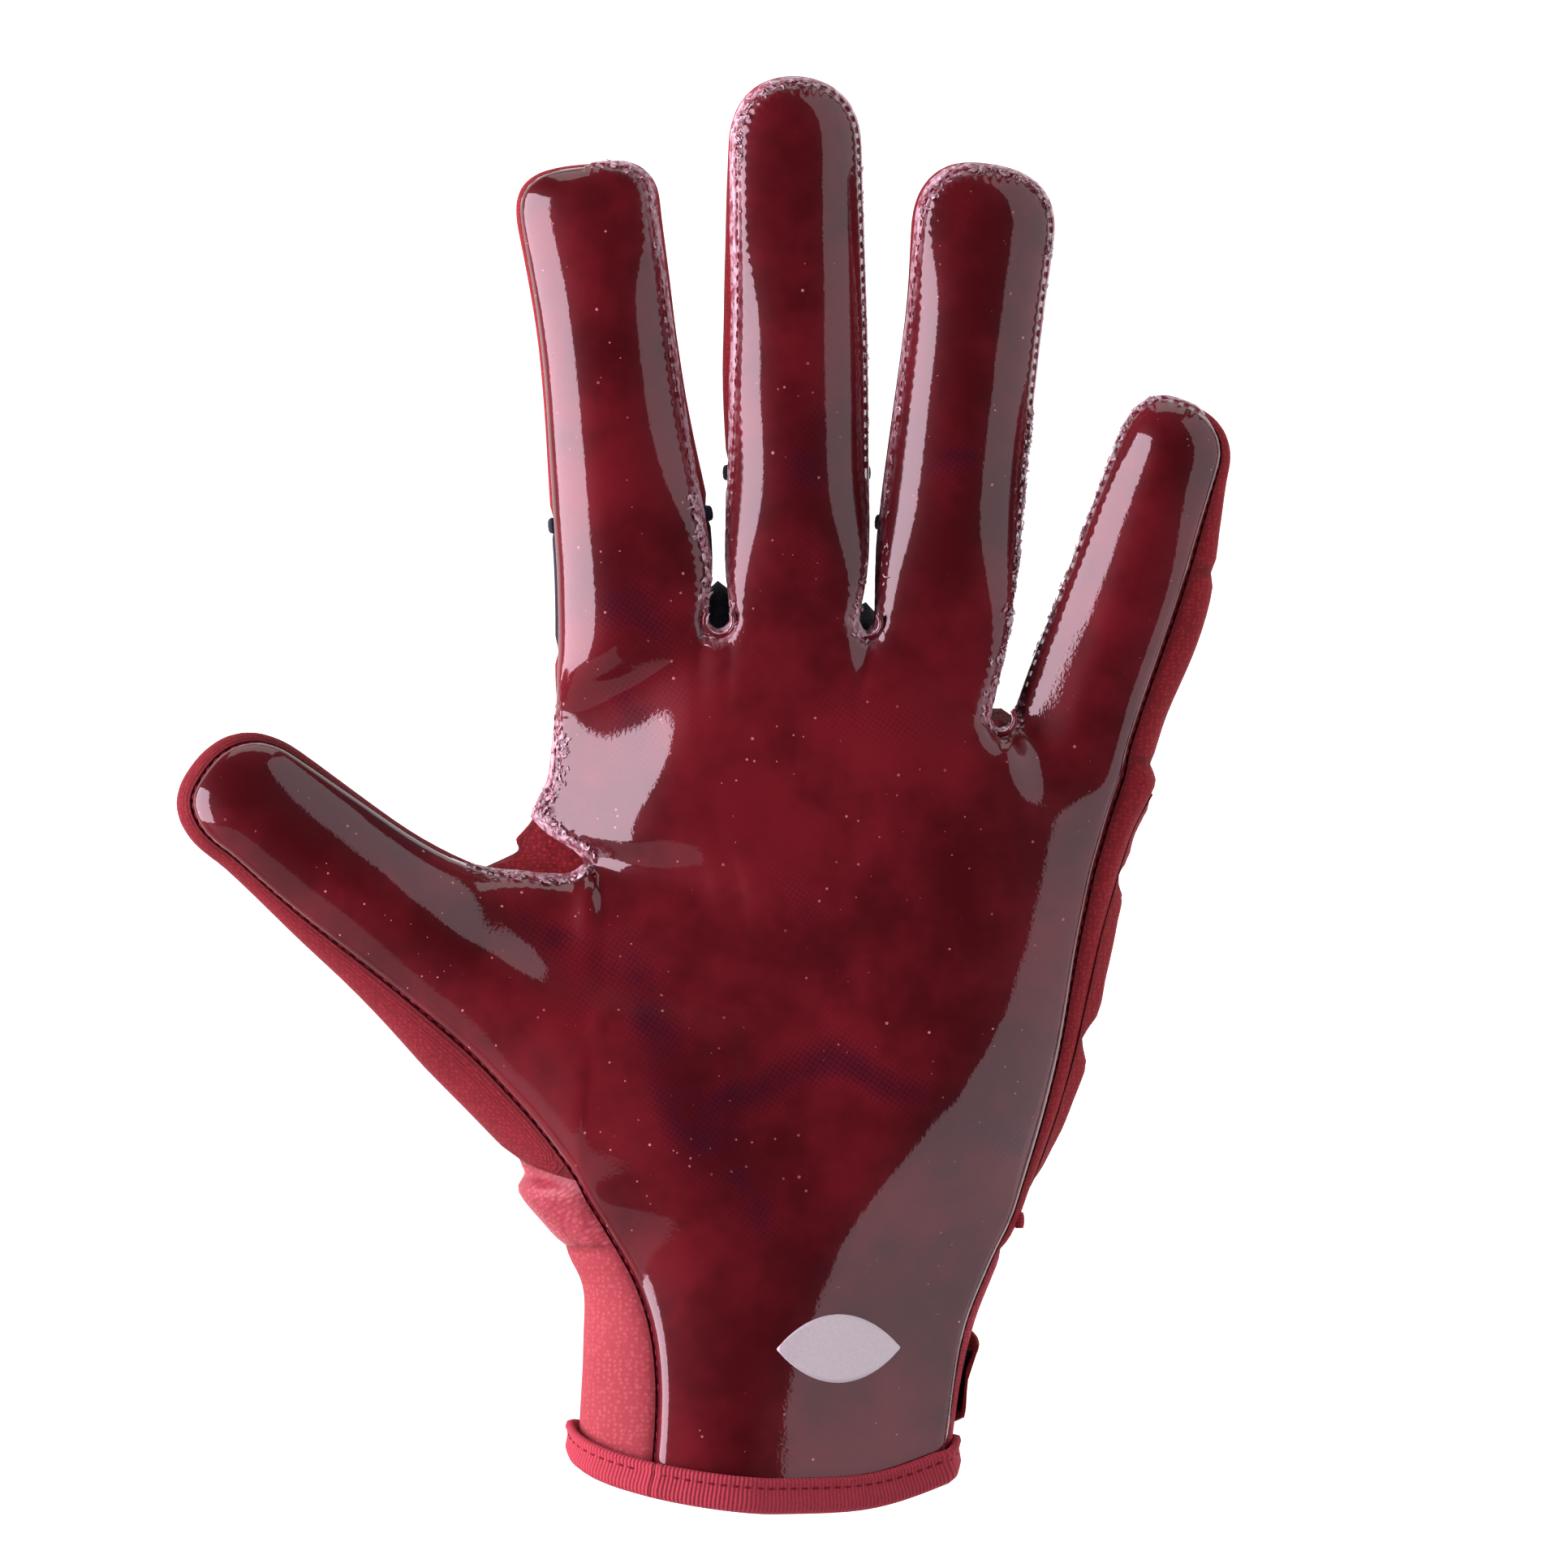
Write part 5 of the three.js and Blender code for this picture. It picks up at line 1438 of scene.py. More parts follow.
class GLOVE_OT_pads(bpy.types.Operator):
    """Make the padded lumps on the back along the little finger's side"""
    bl_idname = "glove.pads"
    bl_label = "Side Pads"

    def execute(self, context):
        skin, _groups, _colours, sizes = glove()

        def high(p, edge, run):
            lump = sizes.pad_height / MM * (1 - bell(edge, 0, PAD["round"]))
            return PAD["border"] + lump + PAD["uneven"] * ripple(p, PAD["long"], PAD["seed"])

        for name in SIDE_PADS:
            pad = shell(skin, name, [look("back_cloth")], lambda *_: PAD["foot"], high)
        return {"FINISHED"}


# ---- bodies through rings of points ----
# The distance from a seam that the bodies without seams tell their material.
FAR_FROM_SEAMS = 9.0


def walls(first, rings, around):
    """The cells between rings of points that follow each other from a first point on."""
    return [(a + n, a + (n + 1) % around, a + (n + 1) % around + around, a + n + around)
            for a in range(first, first + (rings - 1) * around, around) for n in range(around)]


def tube(first, rings, around):
    """The cells of a closed tube: its walls and both of its ends."""
    last = first + (rings - 1) * around
    return [*walls(first, rings, around), tuple(range(first + around - 1, first - 1, -1)),
            tuple(range(last, last + around))]


def sweep(name, sections, runs, material, node=None, smooth_angle=None):
    """A closed body through sections of as many points each, with how far along each one lies."""
    count = len(sections[0])
    points = [p for section in sections for p in section]
    cells = walls(0, len(sections), count)
    for base in (0, (len(sections) - 1) * count):
        cells += [(base + n, base + (n + 1) % count, len(points)) for n in range(count)]
        points.append(sum((Vector(p) for p in points[base:base + count]), Vector()) / count)
    piece = as_piece(name, points, cells, [material], node)
    face_outwards(piece.data)
    add_values(piece.data, "run", [run for run in runs for _n in range(count)] + [runs[0], runs[-1]])
    add_values(piece.data, "edge", [FAR_FROM_SEAMS] * len(points))
    if smooth_angle:
        smooth_by_angle(piece, smooth_angle)
    return piece


def runs_along(line):
    """How far along a line each of its points lies."""
    runs = [0.0]
    for a, b in zip(line, line[1:]):
        runs.append(runs[-1] + (b - a).length)
    return runs


def ring_angles(count):
    return [2 * math.pi * n / count for n in range(count)]


# ---- the cuff ----
# The binding's section: how far out of the cuff's edge line, and how far below it, each corner of
# its outside lies, from the inner leg's top round the roll to the outer leg's top, then back inside.
BINDING = [
    (-2.9, -4.4), (-3.05, -2.0), (-3.05, 0.2), (-2.6, 1.0), (-1.6, 1.45), (-0.4, 1.55), (0.8, 1.35),
    (1.65, 0.75), (1.95, -0.3), (1.75, -1.5), (1.62, -2.1), (1.55, -2.8), (1.95, -3.6), (1.75, -4.25),
    (0.95, -4.4), (0.5, -4.1), (0.45, -1.0), (-0.2, -0.2), (-1.3, -0.2), (-1.75, -1.0), (-1.8, -4.4),
]
BINDING_STEP = 0.8
# The binding's joint: its X, and how far out the lap stands and how far it reaches.
JOINT = {"x": -18.9, "out": 0.288, "reach": 2.0}
# How much the binding swells, over what length; then how far out of the cuff's edge and above it its
# stitches lie.
BINDING_SWELL = {"share": 0.08, "long": 3.5, "seed": 5}
BINDING_STITCH = {"out": 1.62, "up": 2.7}


def resampled(places, step):
    """Points of a closed line in equal steps, with the first one once more at the end."""
    closed = places + places[:1]
    runs = runs_along(closed)
    count = round(runs[-1] / step)
    done, n = [], 0
    for k in range(count + 1):
        run = runs[-1] * k / count
        while n < len(closed) - 2 and runs[n + 1] < run:
            n += 1
        done.append(closed[n].lerp(closed[n + 1], (run - runs[n]) / (runs[n + 1] - runs[n])))
    return done


def cuff_line(skin):
    """The cuff's edge from the binding's joint round to it again."""
    sides = sides_of([face for name in PIECES for face in skin.faces[name]])
    follow = {a: b for a, b in sides if a in skin.mouth and b in skin.mouth and (b, a) not in sides}
    in_front = (id for id in follow if skin.outward[id].y < 0)
    start = min(in_front, key=lambda id: abs(skin.points[id].x - JOINT["x"]))
    loop = [start]
    while follow[loop[-1]] != start:
        loop.append(follow[loop[-1]])
    return resampled([skin.points[id] for id in loop], BINDING_STEP)


class GLOVE_OT_cuff(bpy.types.Operator):
    """Make the rolled rib binding round the cuff's mouth"""
    bl_idname = "glove.cuff"
    bl_label = "Cuff Binding"

    def execute(self, context):
        skin, _groups, _colours, sizes = glove()
        line = cuff_line(skin)
        middle = sum(line, Vector()) / len(line)
        runs, last = runs_along(line), len(line) - 1

        def directions(before, after, place):
            """Along the cuff's edge, and level out of it."""
            tangent = (after - before).normalized()
            out = tangent.cross(Vector((0, 0, 1))).normalized()
            return tangent, -out if out.dot(place - middle) < 0 else out

        sections = []
        for n, (place, run) in enumerate(zip(line, runs)):
            tangent, out = directions(line[max(n - 1, 0)], line[min(n + 1, last)], place)
            down = tangent.cross(out)
            down = down if down.z < 0 else -down
            spot = Vector((run / BINDING_SWELL["long"], BINDING_SWELL["seed"], 0))
            swell = BINDING_SWELL["share"] * noise.noise(spot)
            lap = JOINT["out"] * smooth(1 - min(run, (last - n) * BINDING_STEP) / JOINT["reach"])
            sections.append([place + out * (o * (1 + swell * (o > 0)) + lap * (o > 0)) + down * d
                             for o, d in BINDING])
        piece = sweep("cuff_binding", sections, runs, look("rib_binding"), "cuff_binding")
        stitches = []
        for k in range(int(runs[-1] / STITCH_PITCH)):
            run = k * STITCH_PITCH / BINDING_STEP
            a = min(int(run), last - 1)
            tangent, out = directions(line[a], line[a + 1], line[a])
            place = line[a].lerp(line[a + 1], run % 1.0)
            place = place + out * BINDING_STITCH["out"] + Vector((0, 0, BINDING_STITCH["up"]))
            stitches.append((place, tangent, out))
        make_stitches("binding_stitches", stitches, sizes)
        return {"FINISHED"}


# A stitch's rings: how far along from its middle, in half lengths, and how thick, in thread radii; then
# how far its ends dip, in thread radii, and its points around.
STITCH_RINGS = ((-1, 0.35), (-0.8, 0.9), (0, 1.1), (0.8, 0.9), (1, 0.35))
STITCH_DIP = 0.5
STITCH_AROUND = 6


def make_stitches(name, places, sizes):
    """Short rounded stitches, each on its place, along its direction."""
    half, radius = sizes.stitch_length / MM / 2, sizes.stitch_radius / MM
    points, cells = [], []
    for place, along, out in places:
        side = along.cross(out).normalized()
        cells += tube(len(points), len(STITCH_RINGS), STITCH_AROUND)
        points += [place + along * half * t + side * radius * r * math.cos(turned)
                   + out * radius * (r * math.sin(turned) - STITCH_DIP * t * t)
                   for t, r in STITCH_RINGS for turned in ring_angles(STITCH_AROUND)]
    face_outwards(as_piece(name, points, cells, [look("sewing_thread")]).data)


# ---- the strap ----
# Bands round the wrist. start, end: degrees from the middle of the back, with the level of their middle
# there. low, high: how far their underside and face stand off the wrist's form. cells: how many across
# half of their width. inset: how much narrower the underside is. blunt: how much narrower than the rest
# their ends are. The strap narrows over its last degrees, and lies closer to the wrist where it begins
# and from "sink_from" on, where the wrist's side draws in.
STRAP = {"start": -34, "end": 88.5, "start_level": 23.5, "end_level": 21, "full": 18, "narrow": 12,
         "taper": 50, "low": 0.74, "high": 1.2, "steps": 90, "cells": 8, "inset": 0.985, "blunt": 1.2,
         "blunt_from": 0.985, "settle": 0.3, "settle_low": 0.35, "end_sink": 2.0, "sink_from": 45}
HOOK = {"start": 62, "end": 80, "start_level": 21.5, "end_level": 21, "width": 10, "low": 0.1, "high": 0.72,
        "steps": 24, "cells": 5, "inset": 1, "blunt": 0.6, "blunt_to": 0.08}
# The raised welt beside the strap's edges and the fall of the edges: height, place and width across.
WELT = {"high": 0.12, "at": 0.86, "wide": 0.1, "fall": 0.1, "fall_from": 0.9}
BAND_ANGLE = 50
TURN_STEP = 0.02


def wrist_frame(turned, level):
    """A place on the wrist's form, and the direction out of it."""
    angle = math.radians(turned)
    along = (on_body(angle + TURN_STEP, level) - on_body(angle - TURN_STEP, level)).normalized()
    return on_body(angle, level), Vector((-along.y, along.x, 0)).normalized()


def strap_sink(turned):
    """How much nearer the strap lies to the wrist where the wrist's side draws in."""
    return STRAP["end_sink"] * smooth(turned, STRAP["sink_from"], STRAP["end"])


def strap_shape(t, turned):
    """Half the strap's width and how much nearer it lies to the wrist, at a share of its way."""
    taper = smooth(turned, STRAP["end"] - STRAP["taper"], STRAP["end"])
    half = lerp(STRAP["full"], STRAP["narrow"], taper) / 2
    half -= STRAP["blunt"] * smooth(t, STRAP["blunt_from"], 1.0)
    return half, fade_out(t / STRAP["settle"]) * (STRAP["low"] - STRAP["settle_low"]) + strap_sink(turned)


def hook_shape(t, turned):
    half = HOOK["width"] / 2 - HOOK["blunt"] * (1 - smooth(min(t, 1 - t), 0, HOOK["blunt_to"]))
    return half, strap_sink(turned)


def make_band(name, band, shape, material, welted):
    """A band round the wrist. Returns it and its length."""
    sections, middles, cells = [], [], band["cells"]
    for n in range(band["steps"] + 1):
        t = n / band["steps"]
        turned, level = lerp(band["start"], band["end"], t), lerp(band["start_level"], band["end_level"], t)
        half, sink = shape(t, turned)
        section = []
        for k in range(-cells, cells + 1):
            u = k / cells
            place, out = wrist_frame(turned, level + half * u)
            welt = WELT["high"] * bell(abs(u), WELT["at"], WELT["wide"])
            welt -= WELT["fall"] * smooth(abs(u), WELT["fall_from"], 1.0)
            section.append(place + out * (band["high"] - sink + welted * welt))
        for k in range(cells, -cells - 1, -1):
            place, out = wrist_frame(turned, level + half * k / cells * band["inset"])
            section.append(place + out * (band["low"] - sink))
        sections.append(section)
        middles.append(wrist_frame(turned, level)[0])
    runs = runs_along(middles)
    return sweep(name, sections, runs, material, name, BAND_ANGLE), runs[-1] * MM


class GLOVE_OT_strap(bpy.types.Operator):
    """Make the wrist strap, the hook pad under its end and the seam's tag"""
    bl_idname = "glove.strap"
    bl_label = "Strap and Tag"

    def execute(self, context):
        strap, long = make_band("wrist_strap", STRAP, strap_shape, look("back_cloth"), True)
        make_band("strap_hook", HOOK, hook_shape, look("hook_pad"), False)
        make_tag()
        return {"FINISHED"}


# The tag: how far to the left of the skin's farthest point, and before it, it is sewn in, over what
# height that point is looked for; how much of its box it fills across and in depth, how square its
# section is, how much it narrows to its ends, and its sections, points around and run for each section.
TAG = {"left": 0.3, "before": 0.5, "near": 1.5, "across": 0.95, "deep": 0.9, "square": 0.6, "narrows": 0.25,
       "sections": 13, "around": 14, "run": 0.25}


def make_tag():
    """The folded end of the side seam's tape: a small loop standing out of the seam."""
    low, high = (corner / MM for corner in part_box("seam_tag"))
    middle, half = (low + high) / 2, (high - low) / 2
    side = max((p for p in WORK["skin"].points if abs(p.z - middle.z) < TAG["near"]), key=lambda p: p.x)
    middle = Vector((side.x - TAG["left"], side.y - TAG["before"], middle.z))
    sections = []
    for n in range(TAG["sections"]):
        t = lerp(-1, 1, n / (TAG["sections"] - 1))
        bulge = 1 - TAG["narrows"] * t * t
        sections.append([
            Vector((middle.x + half.x * TAG["across"] * powered(math.cos(turned), TAG["square"]) * bulge,
                    middle.y + half.y * TAG["deep"] * powered(math.sin(turned), TAG["square"]) * bulge,
                    middle.z + half.z * t)) for turned in ring_angles(TAG["around"])])
    runs = [n * TAG["run"] for n in range(TAG["sections"])]
    sweep("seam_tag", sections, runs, look("rib_binding"), "seam_tag")


# ---- stitches and torn edges ----
# Where clear film is torn and frayed along the seam: X and Z range, pieces a millimetre, size, and how
# far in from the edge.
TORN = [
    (-42, -31, 118, 214, 4.2, 1.0, 2.1), (-42, -22, 214, 226, 2.6, 0.9, 1.6),
    (-22, -8, 205, 226, 1.2, 0.8, 1.2), (-14, -8, 148, 166, 3.6, 1.3, 1.9),
    (-12, -2, 137, 149, 3.4, 0.9, 1.6), (-8, 13, 219, 237, 3.0, 1.0, 1.7), (8, 18, 137, 170, 1.6, 0.8, 1.6),
    (24, 46, 205, 222, 3.0, 1.0, 1.7), (35, 43, 138, 180, 3.4, 1.2, 1.7), (32, 44, 122, 138, 2.8, 0.9, 1.7),
    (40, 60, 140, 172, 1.8, 0.9, 1.6), (55, 76, 172, 186, 2.4, 0.9, 1.6), (-42, -22, 98, 118, 4.2, 1.2, 1.8),
    (-72, -42, 100, 118, 0.8, 0.7, 1.3), (12, 22, 170, 222, 1.2, 0.7, 1.6),
]
TORN_ELSEWHERE = (0.12, 0.6, 1.5)
TORN_SPREAD = 0.42
TORN_SIZES = (0.5, 1.3)
SEED = 7
# The film's stitches: how far inside a turned border, how uneven their place and direction, and how far
# they stand off the film.
SEWN = {"turned_inset": 0.1, "uneven": 0.08, "skew": 0.12, "off": 0.02}
FILM_REACH = 4
# The film's cut rim round a slot's foot: degrees from and to, its steps, how far it leans back going up,
# its inner and outer radius, how much above the slot's lowest point and how uneven it is; then its section
# as shares of the way in, distances to the outer radius and depths; then the pale line along its cut.
RIM = {"lean": 0.5, "from": 38, "to": -218, "steps": 30, "inner": 2.05, "outer": 2.9, "above": 0.2,
       "uneven": 0.07, "long": 2.5, "seed": 5, "run": 0.5}
RIM_SECTION = [(0, 0, 0.1), (0, 0.2, -0.14), (0.5, 0, -0.2), (1, 0, 0.15), (1, 0, 0.6), (0.5, 0, 0.4)]
RIM_LINE = {"wide": 0.13, "deep": 0.16, "behind": 0.05, "around": 6}


def film_spot(place, towards):
    """The film's surface nearest to a place, looked for along the skin's outward direction."""
    found = WORK["film_tree"].ray_cast((place + towards * FILM_REACH) * MM, -towards, 2 * FILM_REACH * MM)
    if found[0] is None:
        found = WORK["film_tree"].find_nearest(place * MM)
    return found[0] / MM, found[1]


class GLOVE_OT_stitches(bpy.types.Operator):
    """Sew the film's seams, and tear the clear film beside them"""
    bl_idname = "glove.stitches"
    bl_label = "Stitches and Torn Film"

    def execute(self, context):
        skin, _groups, _colours, sizes = glove()
        random.seed(SEED)
        places, shards = [], []
        for seam in joined(skin, "palm_sheet"):
            count = int(seam.length / STITCH_PITCH)
            for k in range(count):
                place, out, inward, tangent = seam.at((k + 0.5) * seam.length / count)
                inset = lerp(SEAM_INSET, SEWN["turned_inset"], turned_seam(place))
                inset += random.uniform(-SEWN["uneven"], SEWN["uneven"])
                spot, normal = film_spot(place + inward * inset, out)
                along = (tangent - normal * tangent.dot(normal)).normalized()
                along = (along + inward * random.uniform(-SEWN["skew"], SEWN["skew"])).normalized()
                places.append((spot + normal * SEWN["off"], along, normal))
            run = 0.0
            while run < seam.length:
                place, out, inward, tangent = seam.at(run)
                here = (zone for left, right, low, high, *zone in TORN
                        if left <= place.x <= right and low <= place.z <= high)
                rate, size, inset = next(here, TORN_ELSEWHERE)
                run += random.expovariate(rate)
                if turned_seam(place) > TURNED_SHARE:
                    continue
                spot, normal = film_spot(place + inward * random.gauss(inset, TORN_SPREAD), out)
                shards.append((spot, normal, tangent, size * random.uniform(*TORN_SIZES)))
        make_stitches("film_stitches", places, sizes)
        for n, (x, z, _rise, _sooner) in enumerate(SLOT_FEET):
            make_slot_rim(n + 1, x, z + SLOT_RADIUS + RIM["above"])
        make_shards(shards)
        return {"FINISHED"}


def make_slot_rim(number, x, z):
    """The cut rim of the film round the foot of a slot: a bent strip with a pale cut line."""
    foot, _normal = on_film(x, z - RIM["outer"])
    outer = RIM["outer"]
    rims, lines = [], []
    for n in range(RIM["steps"] + 1):
        turned = math.radians(lerp(RIM["from"], RIM["to"], n / RIM["steps"]))
        way = Vector((math.cos(turned), 0, math.sin(turned)))
        uneven = noise.noise(Vector((n / RIM["long"], number * RIM["seed"], 0)))
        inner = RIM["inner"] * (1 + RIM["uneven"] * uneven)
        middle = Vector((x, foot.y - RIM["lean"] * (way.z + 1), z))
        rims.append([middle + way * (lerp(outer, inner, share) - less) + Vector((0, deep, 0))
                     for share, less, deep in RIM_SECTION])
        lines.append([middle + way * (inner + RIM_LINE["wide"] * math.cos(t))
                      + Vector((0, RIM_LINE["behind"] + RIM_LINE["deep"] * math.sin(t), 0))
                      for t in ring_angles(RIM_LINE["around"])])
    runs = [n * RIM["run"] for n in range(RIM["steps"] + 1)]
    sweep(f"slot_rim_{number}", rims, runs, look("film_red"))
    sweep(f"slot_line_{number}", lines, runs, look("film_cut_edge"))


# A sliver of torn film, in shares of its size: its length, how wide it may be, how much narrower its ends
# are, how far it may be lifted, bent and tilted. Then its thickness and height above the film, how far it
# may be turned, in radians, its steps along, and the angle that its edges are sharp from.
SLIVER = {"long": 1.2, "wide": (0.1, 0.32), "narrows": 0.6, "lift": 0.3, "bend": 0.2, "tilt": 0.12,
          "thick": 0.07, "off": 0.06, "turn": 0.7, "steps": (2, 4), "sharp": 30}


def make_shards(shards):
    """Torn slivers of clear film: short crumpled ribbons lying on the seams."""
    points, cells = [], []
    for spot, normal, tangent, size in shards:
        side = normal.cross(tangent).normalized()
        turned = random.gauss(0, SLIVER["turn"])
        along = tangent * math.cos(turned) + side * math.sin(turned)
        across = normal.cross(along).normalized()
        steps = random.randint(*SLIVER["steps"])
        cells += tube(len(points), steps + 1, 4)
        place = spot + normal * SLIVER["off"] - along * size * SLIVER["long"] / 2
        for n in range(steps + 1):
            wide = size * random.uniform(*SLIVER["wide"]) * (1 - SLIVER["narrows"] * abs(2 * n / steps - 1))
            lift = normal * random.uniform(0.0, SLIVER["lift"]) * size
            bent = across * random.uniform(-SLIVER["bend"], SLIVER["bend"]) * size
            tilt = normal * random.uniform(-SLIVER["tilt"], SLIVER["tilt"]) * size
            centre = place + along * size * SLIVER["long"] * n / steps + lift + bent
            left, right = centre - across * wide - tilt, centre + across * wide + tilt
            up = normal * SLIVER["thick"]
            points += [left, right, right + up, left + up]
    piece = as_piece("torn_film", points, cells, [look("torn_clear_film")])
    smooth_by_angle(piece, SLIVER["sharp"])
    face_outwards(piece.data)


# ---- hems ----
# A knuckle cloth's hem: half its width, how far it rises and sinks, how flat its ends are over how many
# points, how far down the finger and into the cloth it lies, how square its section is.
HEM = {"half": 1.3, "rise": 0.75, "sink": 0.33, "end_share": 0.3, "end_points": 2, "down": 0.4, "deep": 0.15,
       "square": 0.7, "around": 12}


def common_line(skin, one, other):
    """The line of point numbers that two pieces share, from end to end."""
    sides = sides_of(skin.faces[one])
    links = {}
    for face in skin.faces[other]:
        for a, b in pairs(face):
            if (b, a) in sides:
                links.setdefault(a, []).append(b)
                links.setdefault(b, []).append(a)
    start = min(id for id, near in links.items() if len(near) == 1)
    line, before = [start], None
    while True:
        nearby = [id for id in links[line[-1]] if id != before]
        if not nearby:
            return line
        before = line[-1]
        line.append(nearby[0])


class GLOVE_OT_hems(bpy.types.Operator):
    """Turn the knuckle cloths' edges over the fingers' backs as small stepped hems"""
    bl_idname = "glove.hems"
    bl_label = "Knuckle Hems"

    def execute(self, context):
        skin = glove()[0]
        for name in FINGERS[:3]:
            line = common_line(skin, f"{name}_back", f"{name}_knuckle")
            corners = [id for face in skin.faces[f"{name}_knuckle"] for id in face]
            below = sum((skin.points[id] for id in corners), Vector()) / len(corners)
            places, last, sections = [skin.points[id] for id in line], len(line) - 1, []
            for n, (id, place) in enumerate(zip(line, places)):
                out = skin.outward[id]
                down = out.cross((places[min(n + 1, last)] - places[max(n - 1, 0)]).normalized()).normalized()
                if down.dot(below - place) < 0:
                    down = -down
                rise = HEM["rise"] * lerp(HEM["end_share"], 1.0, smooth(min(n, last - n) / HEM["end_points"]))
                section = []
                for turned in ring_angles(HEM["around"]):
                    u, v = (powered(part, HEM["square"]) for part in (math.cos(turned), math.sin(turned)))
                    section.append(place + down * (HEM["half"] * u + HEM["down"])
                                   + out * ((rise if v > 0 else HEM["sink"]) * v - HEM["deep"]))
                sections.append(section)
            sweep(f"{name}_hem", sections, runs_along(places), look("navy_cloth"))
        return {"FINISHED"}


# ---- the studio ----
VIEW = {"x": 2.13, "z": 119.0, "wide": 256.96, "away": 2600.0, "sensor": 36.0, "clip_end": 20}
# The pale sweep: its floor's level, where it begins, its wall and the curve up to it, its size, between
# which depths it begins to glow, and its own faint cloudiness.
FLOOR_Z = -1800.0
BACKDROP = {"front": -260.0, "back": 3300.0, "curve": 500.0, "curve_steps": 24, "half_wide": 7000.0,
            "high": 5700.0, "glow": (2300.0, 2800.0), "cloud": 0.004, "shade": (0.97, 0.97, 0.97, 1),
            "pale": (1, 1, 1, 1)}
ROOM = {"colour": (0.9, 0.9, 1.0, 1), "strength": 0.04}
# The softboxes: name, setting of the brightness, place, aim, size and tint.
SOFTBOXES = [
    ("left_softbox", "left_light", (-1150, -350, 200), (0, 0, 120), (1300, 1300), (1.0, 0.78, 0.92)),
    ("right_softbox", "right_light", (1150, -420, 200), (0, 0, 120), (1500, 3700), (1.0, 0.9, 0.98)),
    ("low_left_softbox", "low_light", (-351, -501, -538), (0, 0, 120), (900, 700), (1.0, 0.85, 0.95)),
    ("top_softbox", "top_light", (0, 100, 1500), (0, 0, 100), (1200, 900), (1.0, 1.0, 1.0)),
]


def add_softbox(name, face_brightness, place, aim, size, tint):
    """An area light whose face has the given brightness."""
    light = bpy.data.lights.new(name, "AREA")
    light.shape = "RECTANGLE"
    light.size, light.size_y = (side * MM for side in size)
    light.energy = face_brightness * math.pi * light.size * light.size_y
    light.color = tint
    lamp = bpy.data.objects.new(name, light)
    bpy.context.collection.objects.link(lamp)
    lamp.location = Vector(place) * MM
    lamp.rotation_euler = (Vector(aim) - Vector(place)).to_track_quat("-Z", "Y").to_euler()


def sweep_look(name, glow_strength):
    """The sweep's paint, which glows where it stands behind the glove."""
    f = Finish(name)
    place = f.place()
    pale = f.mix(f.noise(place, scale=BACKDROP["cloud"], detail=2.0), BACKDROP["shade"], BACKDROP["pale"])
    _x, behind, _z = f.node("ShaderNodeSeparateXYZ", Vector=place).outputs
    glow = f.mix(f.ramp(behind, *BACKDROP["glow"]), (0, 0, 0, 1), pale)
    return f.surface(Base_Color=pale, Roughness=0.9, Specular_IOR_Level=0.1, Emission_Color=glow,
                     Emission_Strength=glow_strength)


def add_sweep(material):
    """The pale floor that curves up into a wall behind the glove."""
    back, curve, steps = BACKDROP["back"], BACKDROP["curve"], BACKDROP["curve_steps"]
    rows = [(BACKDROP["front"], FLOOR_Z)]
    for n in range(steps + 1):
        bend = math.pi / 2 * n / steps
        rows.append((back - curve * (1 - math.sin(bend)), FLOOR_Z + curve * (1 - math.cos(bend))))
    rows.append((back, BACKDROP["high"]))
    points = [Vector((side * BACKDROP["half_wide"], y, z)) * MM for y, z in rows for side in (-1, 1)]
    mesh = bpy.data.meshes.new("sweep")
    mesh.from_pydata(points, [], [(n, n + 1, n + 3, n + 2) for n in range(0, len(points) - 2, 2)])
    sweep_cloth = bpy.data.objects.new("sweep", mesh)
    bpy.context.collection.objects.link(sweep_cloth)
    mesh.shade_smooth()
    mesh.materials.append(material)


def add_camera(scene):
    """The camera at the photograph's viewing angle."""
    data = bpy.data.cameras.new("camera")
    camera = bpy.data.objects.new("camera", data)
    bpy.context.collection.objects.link(camera)
    camera.location = Vector((VIEW["x"], -VIEW["away"], VIEW["z"])) * MM
    camera.rotation_euler = (math.pi / 2, 0, 0)
    data.sensor_width = VIEW["sensor"]
    data.lens = VIEW["sensor"] * VIEW["away"] / VIEW["wide"]
    data.clip_end = VIEW["clip_end"]
    scene.camera = camera


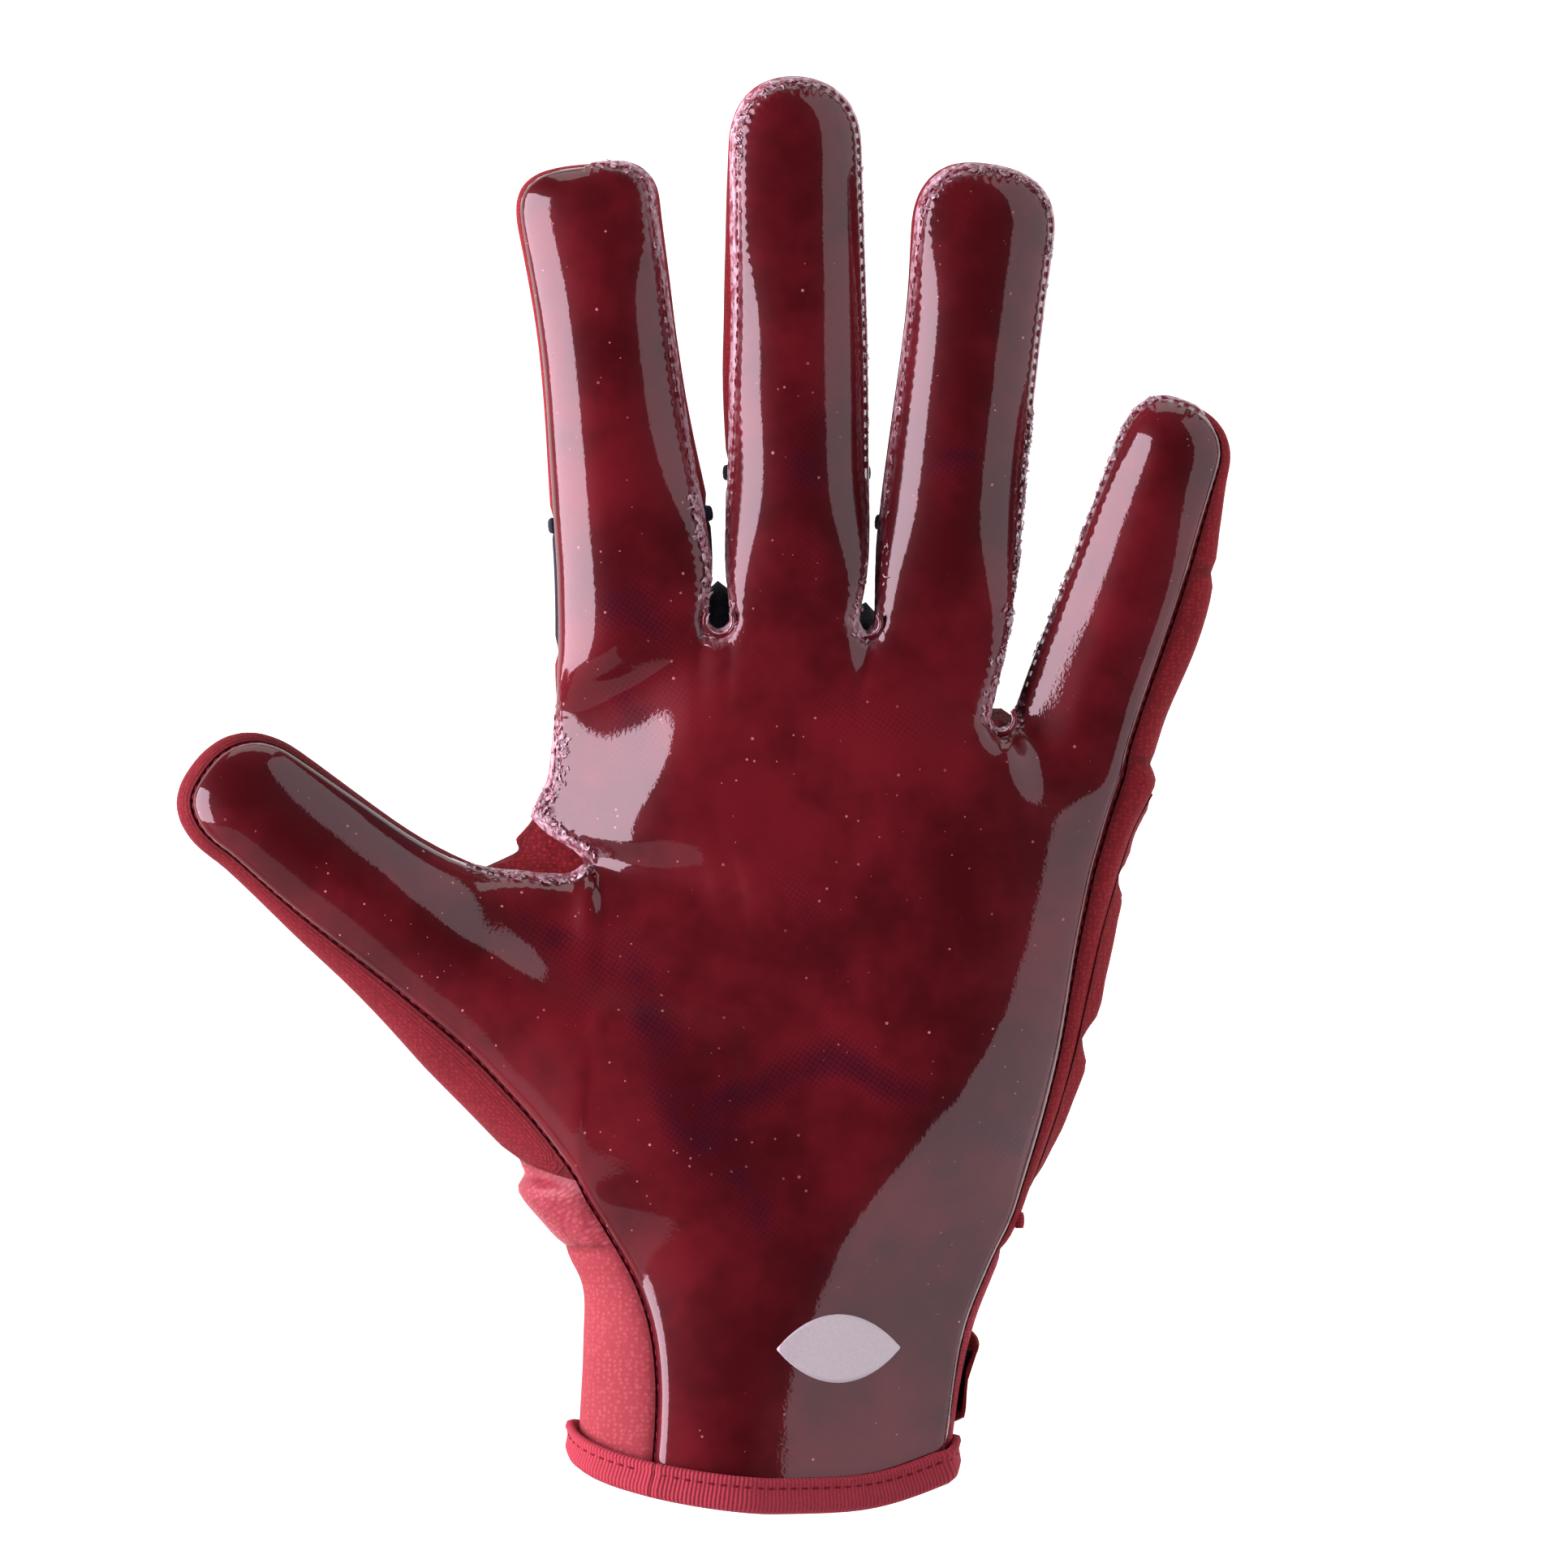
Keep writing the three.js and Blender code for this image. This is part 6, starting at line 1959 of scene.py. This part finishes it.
class GLOVE_OT_studio(bpy.types.Operator):
    """Set up the pale sweep, the soft lights and the camera"""
    bl_idname = "glove.studio"
    bl_label = "Studio"

    def execute(self, context):
        scene = context.scene
        add_sweep(sweep_look("pale_sweep", scene.glove_studio.backdrop))
        for name, setting, *softbox in SOFTBOXES:
            add_softbox(name, getattr(scene.glove_studio, setting), *softbox)
        add_camera(scene)
        scene.world = bpy.data.worlds.new("room")
        scene.world.use_nodes = True
        room = scene.world.node_tree.nodes["Background"].inputs
        room["Color"].default_value, room["Strength"].default_value = ROOM["colour"], ROOM["strength"]
        scene.view_settings.view_transform = "Standard"
        return {"FINISHED"}


class GLOVE_PT_glove(bpy.types.Panel):
    """Lists the glove's makers and their settings"""
    bl_label = "Receiver Glove"
    bl_idname = "GLOVE_PT_glove"
    bl_space_type = "VIEW_3D"
    bl_region_type = "UI"
    bl_category = "Glove"

    def draw(self, context):
        for maker in MAKERS:
            self.layout.operator(maker.bl_idname)
        for title, group in (("Sizes", context.scene.glove_sizes), ("Colours", context.scene.glove_colours),
                             ("Studio", context.scene.glove_studio)):
            box = self.layout.box()
            box.label(text=title)
            for key in group.__annotations__:
                box.prop(group, key)


MAKERS = (GLOVE_OT_film, GLOVE_OT_cloth, GLOVE_OT_pads, GLOVE_OT_cuff, GLOVE_OT_strap, GLOVE_OT_stitches,
          GLOVE_OT_hems, GLOVE_OT_studio)
CLASSES = (GloveColours, GloveSizes, GloveStudio, *MAKERS, GLOVE_PT_glove)


def register():
    for kind in CLASSES:
        bpy.utils.register_class(kind)
    bpy.types.Scene.glove_colours = bpy.props.PointerProperty(type=GloveColours)
    bpy.types.Scene.glove_sizes = bpy.props.PointerProperty(type=GloveSizes)
    bpy.types.Scene.glove_studio = bpy.props.PointerProperty(type=GloveStudio)


def unregister():
    del bpy.types.Scene.glove_colours, bpy.types.Scene.glove_sizes, bpy.types.Scene.glove_studio
    for kind in reversed(CLASSES):
        bpy.utils.unregister_class(kind)


def main():
    register()
    bpy.ops.object.select_all(action="DESELECT")
    bpy.ops.glove.film()
    bpy.ops.glove.cloth()
    bpy.ops.glove.pads()
    bpy.ops.glove.cuff()
    bpy.ops.glove.strap()
    bpy.ops.glove.stitches()
    bpy.ops.glove.hems()
    bpy.ops.glove.studio()


if __name__ == "__main__":
    main()
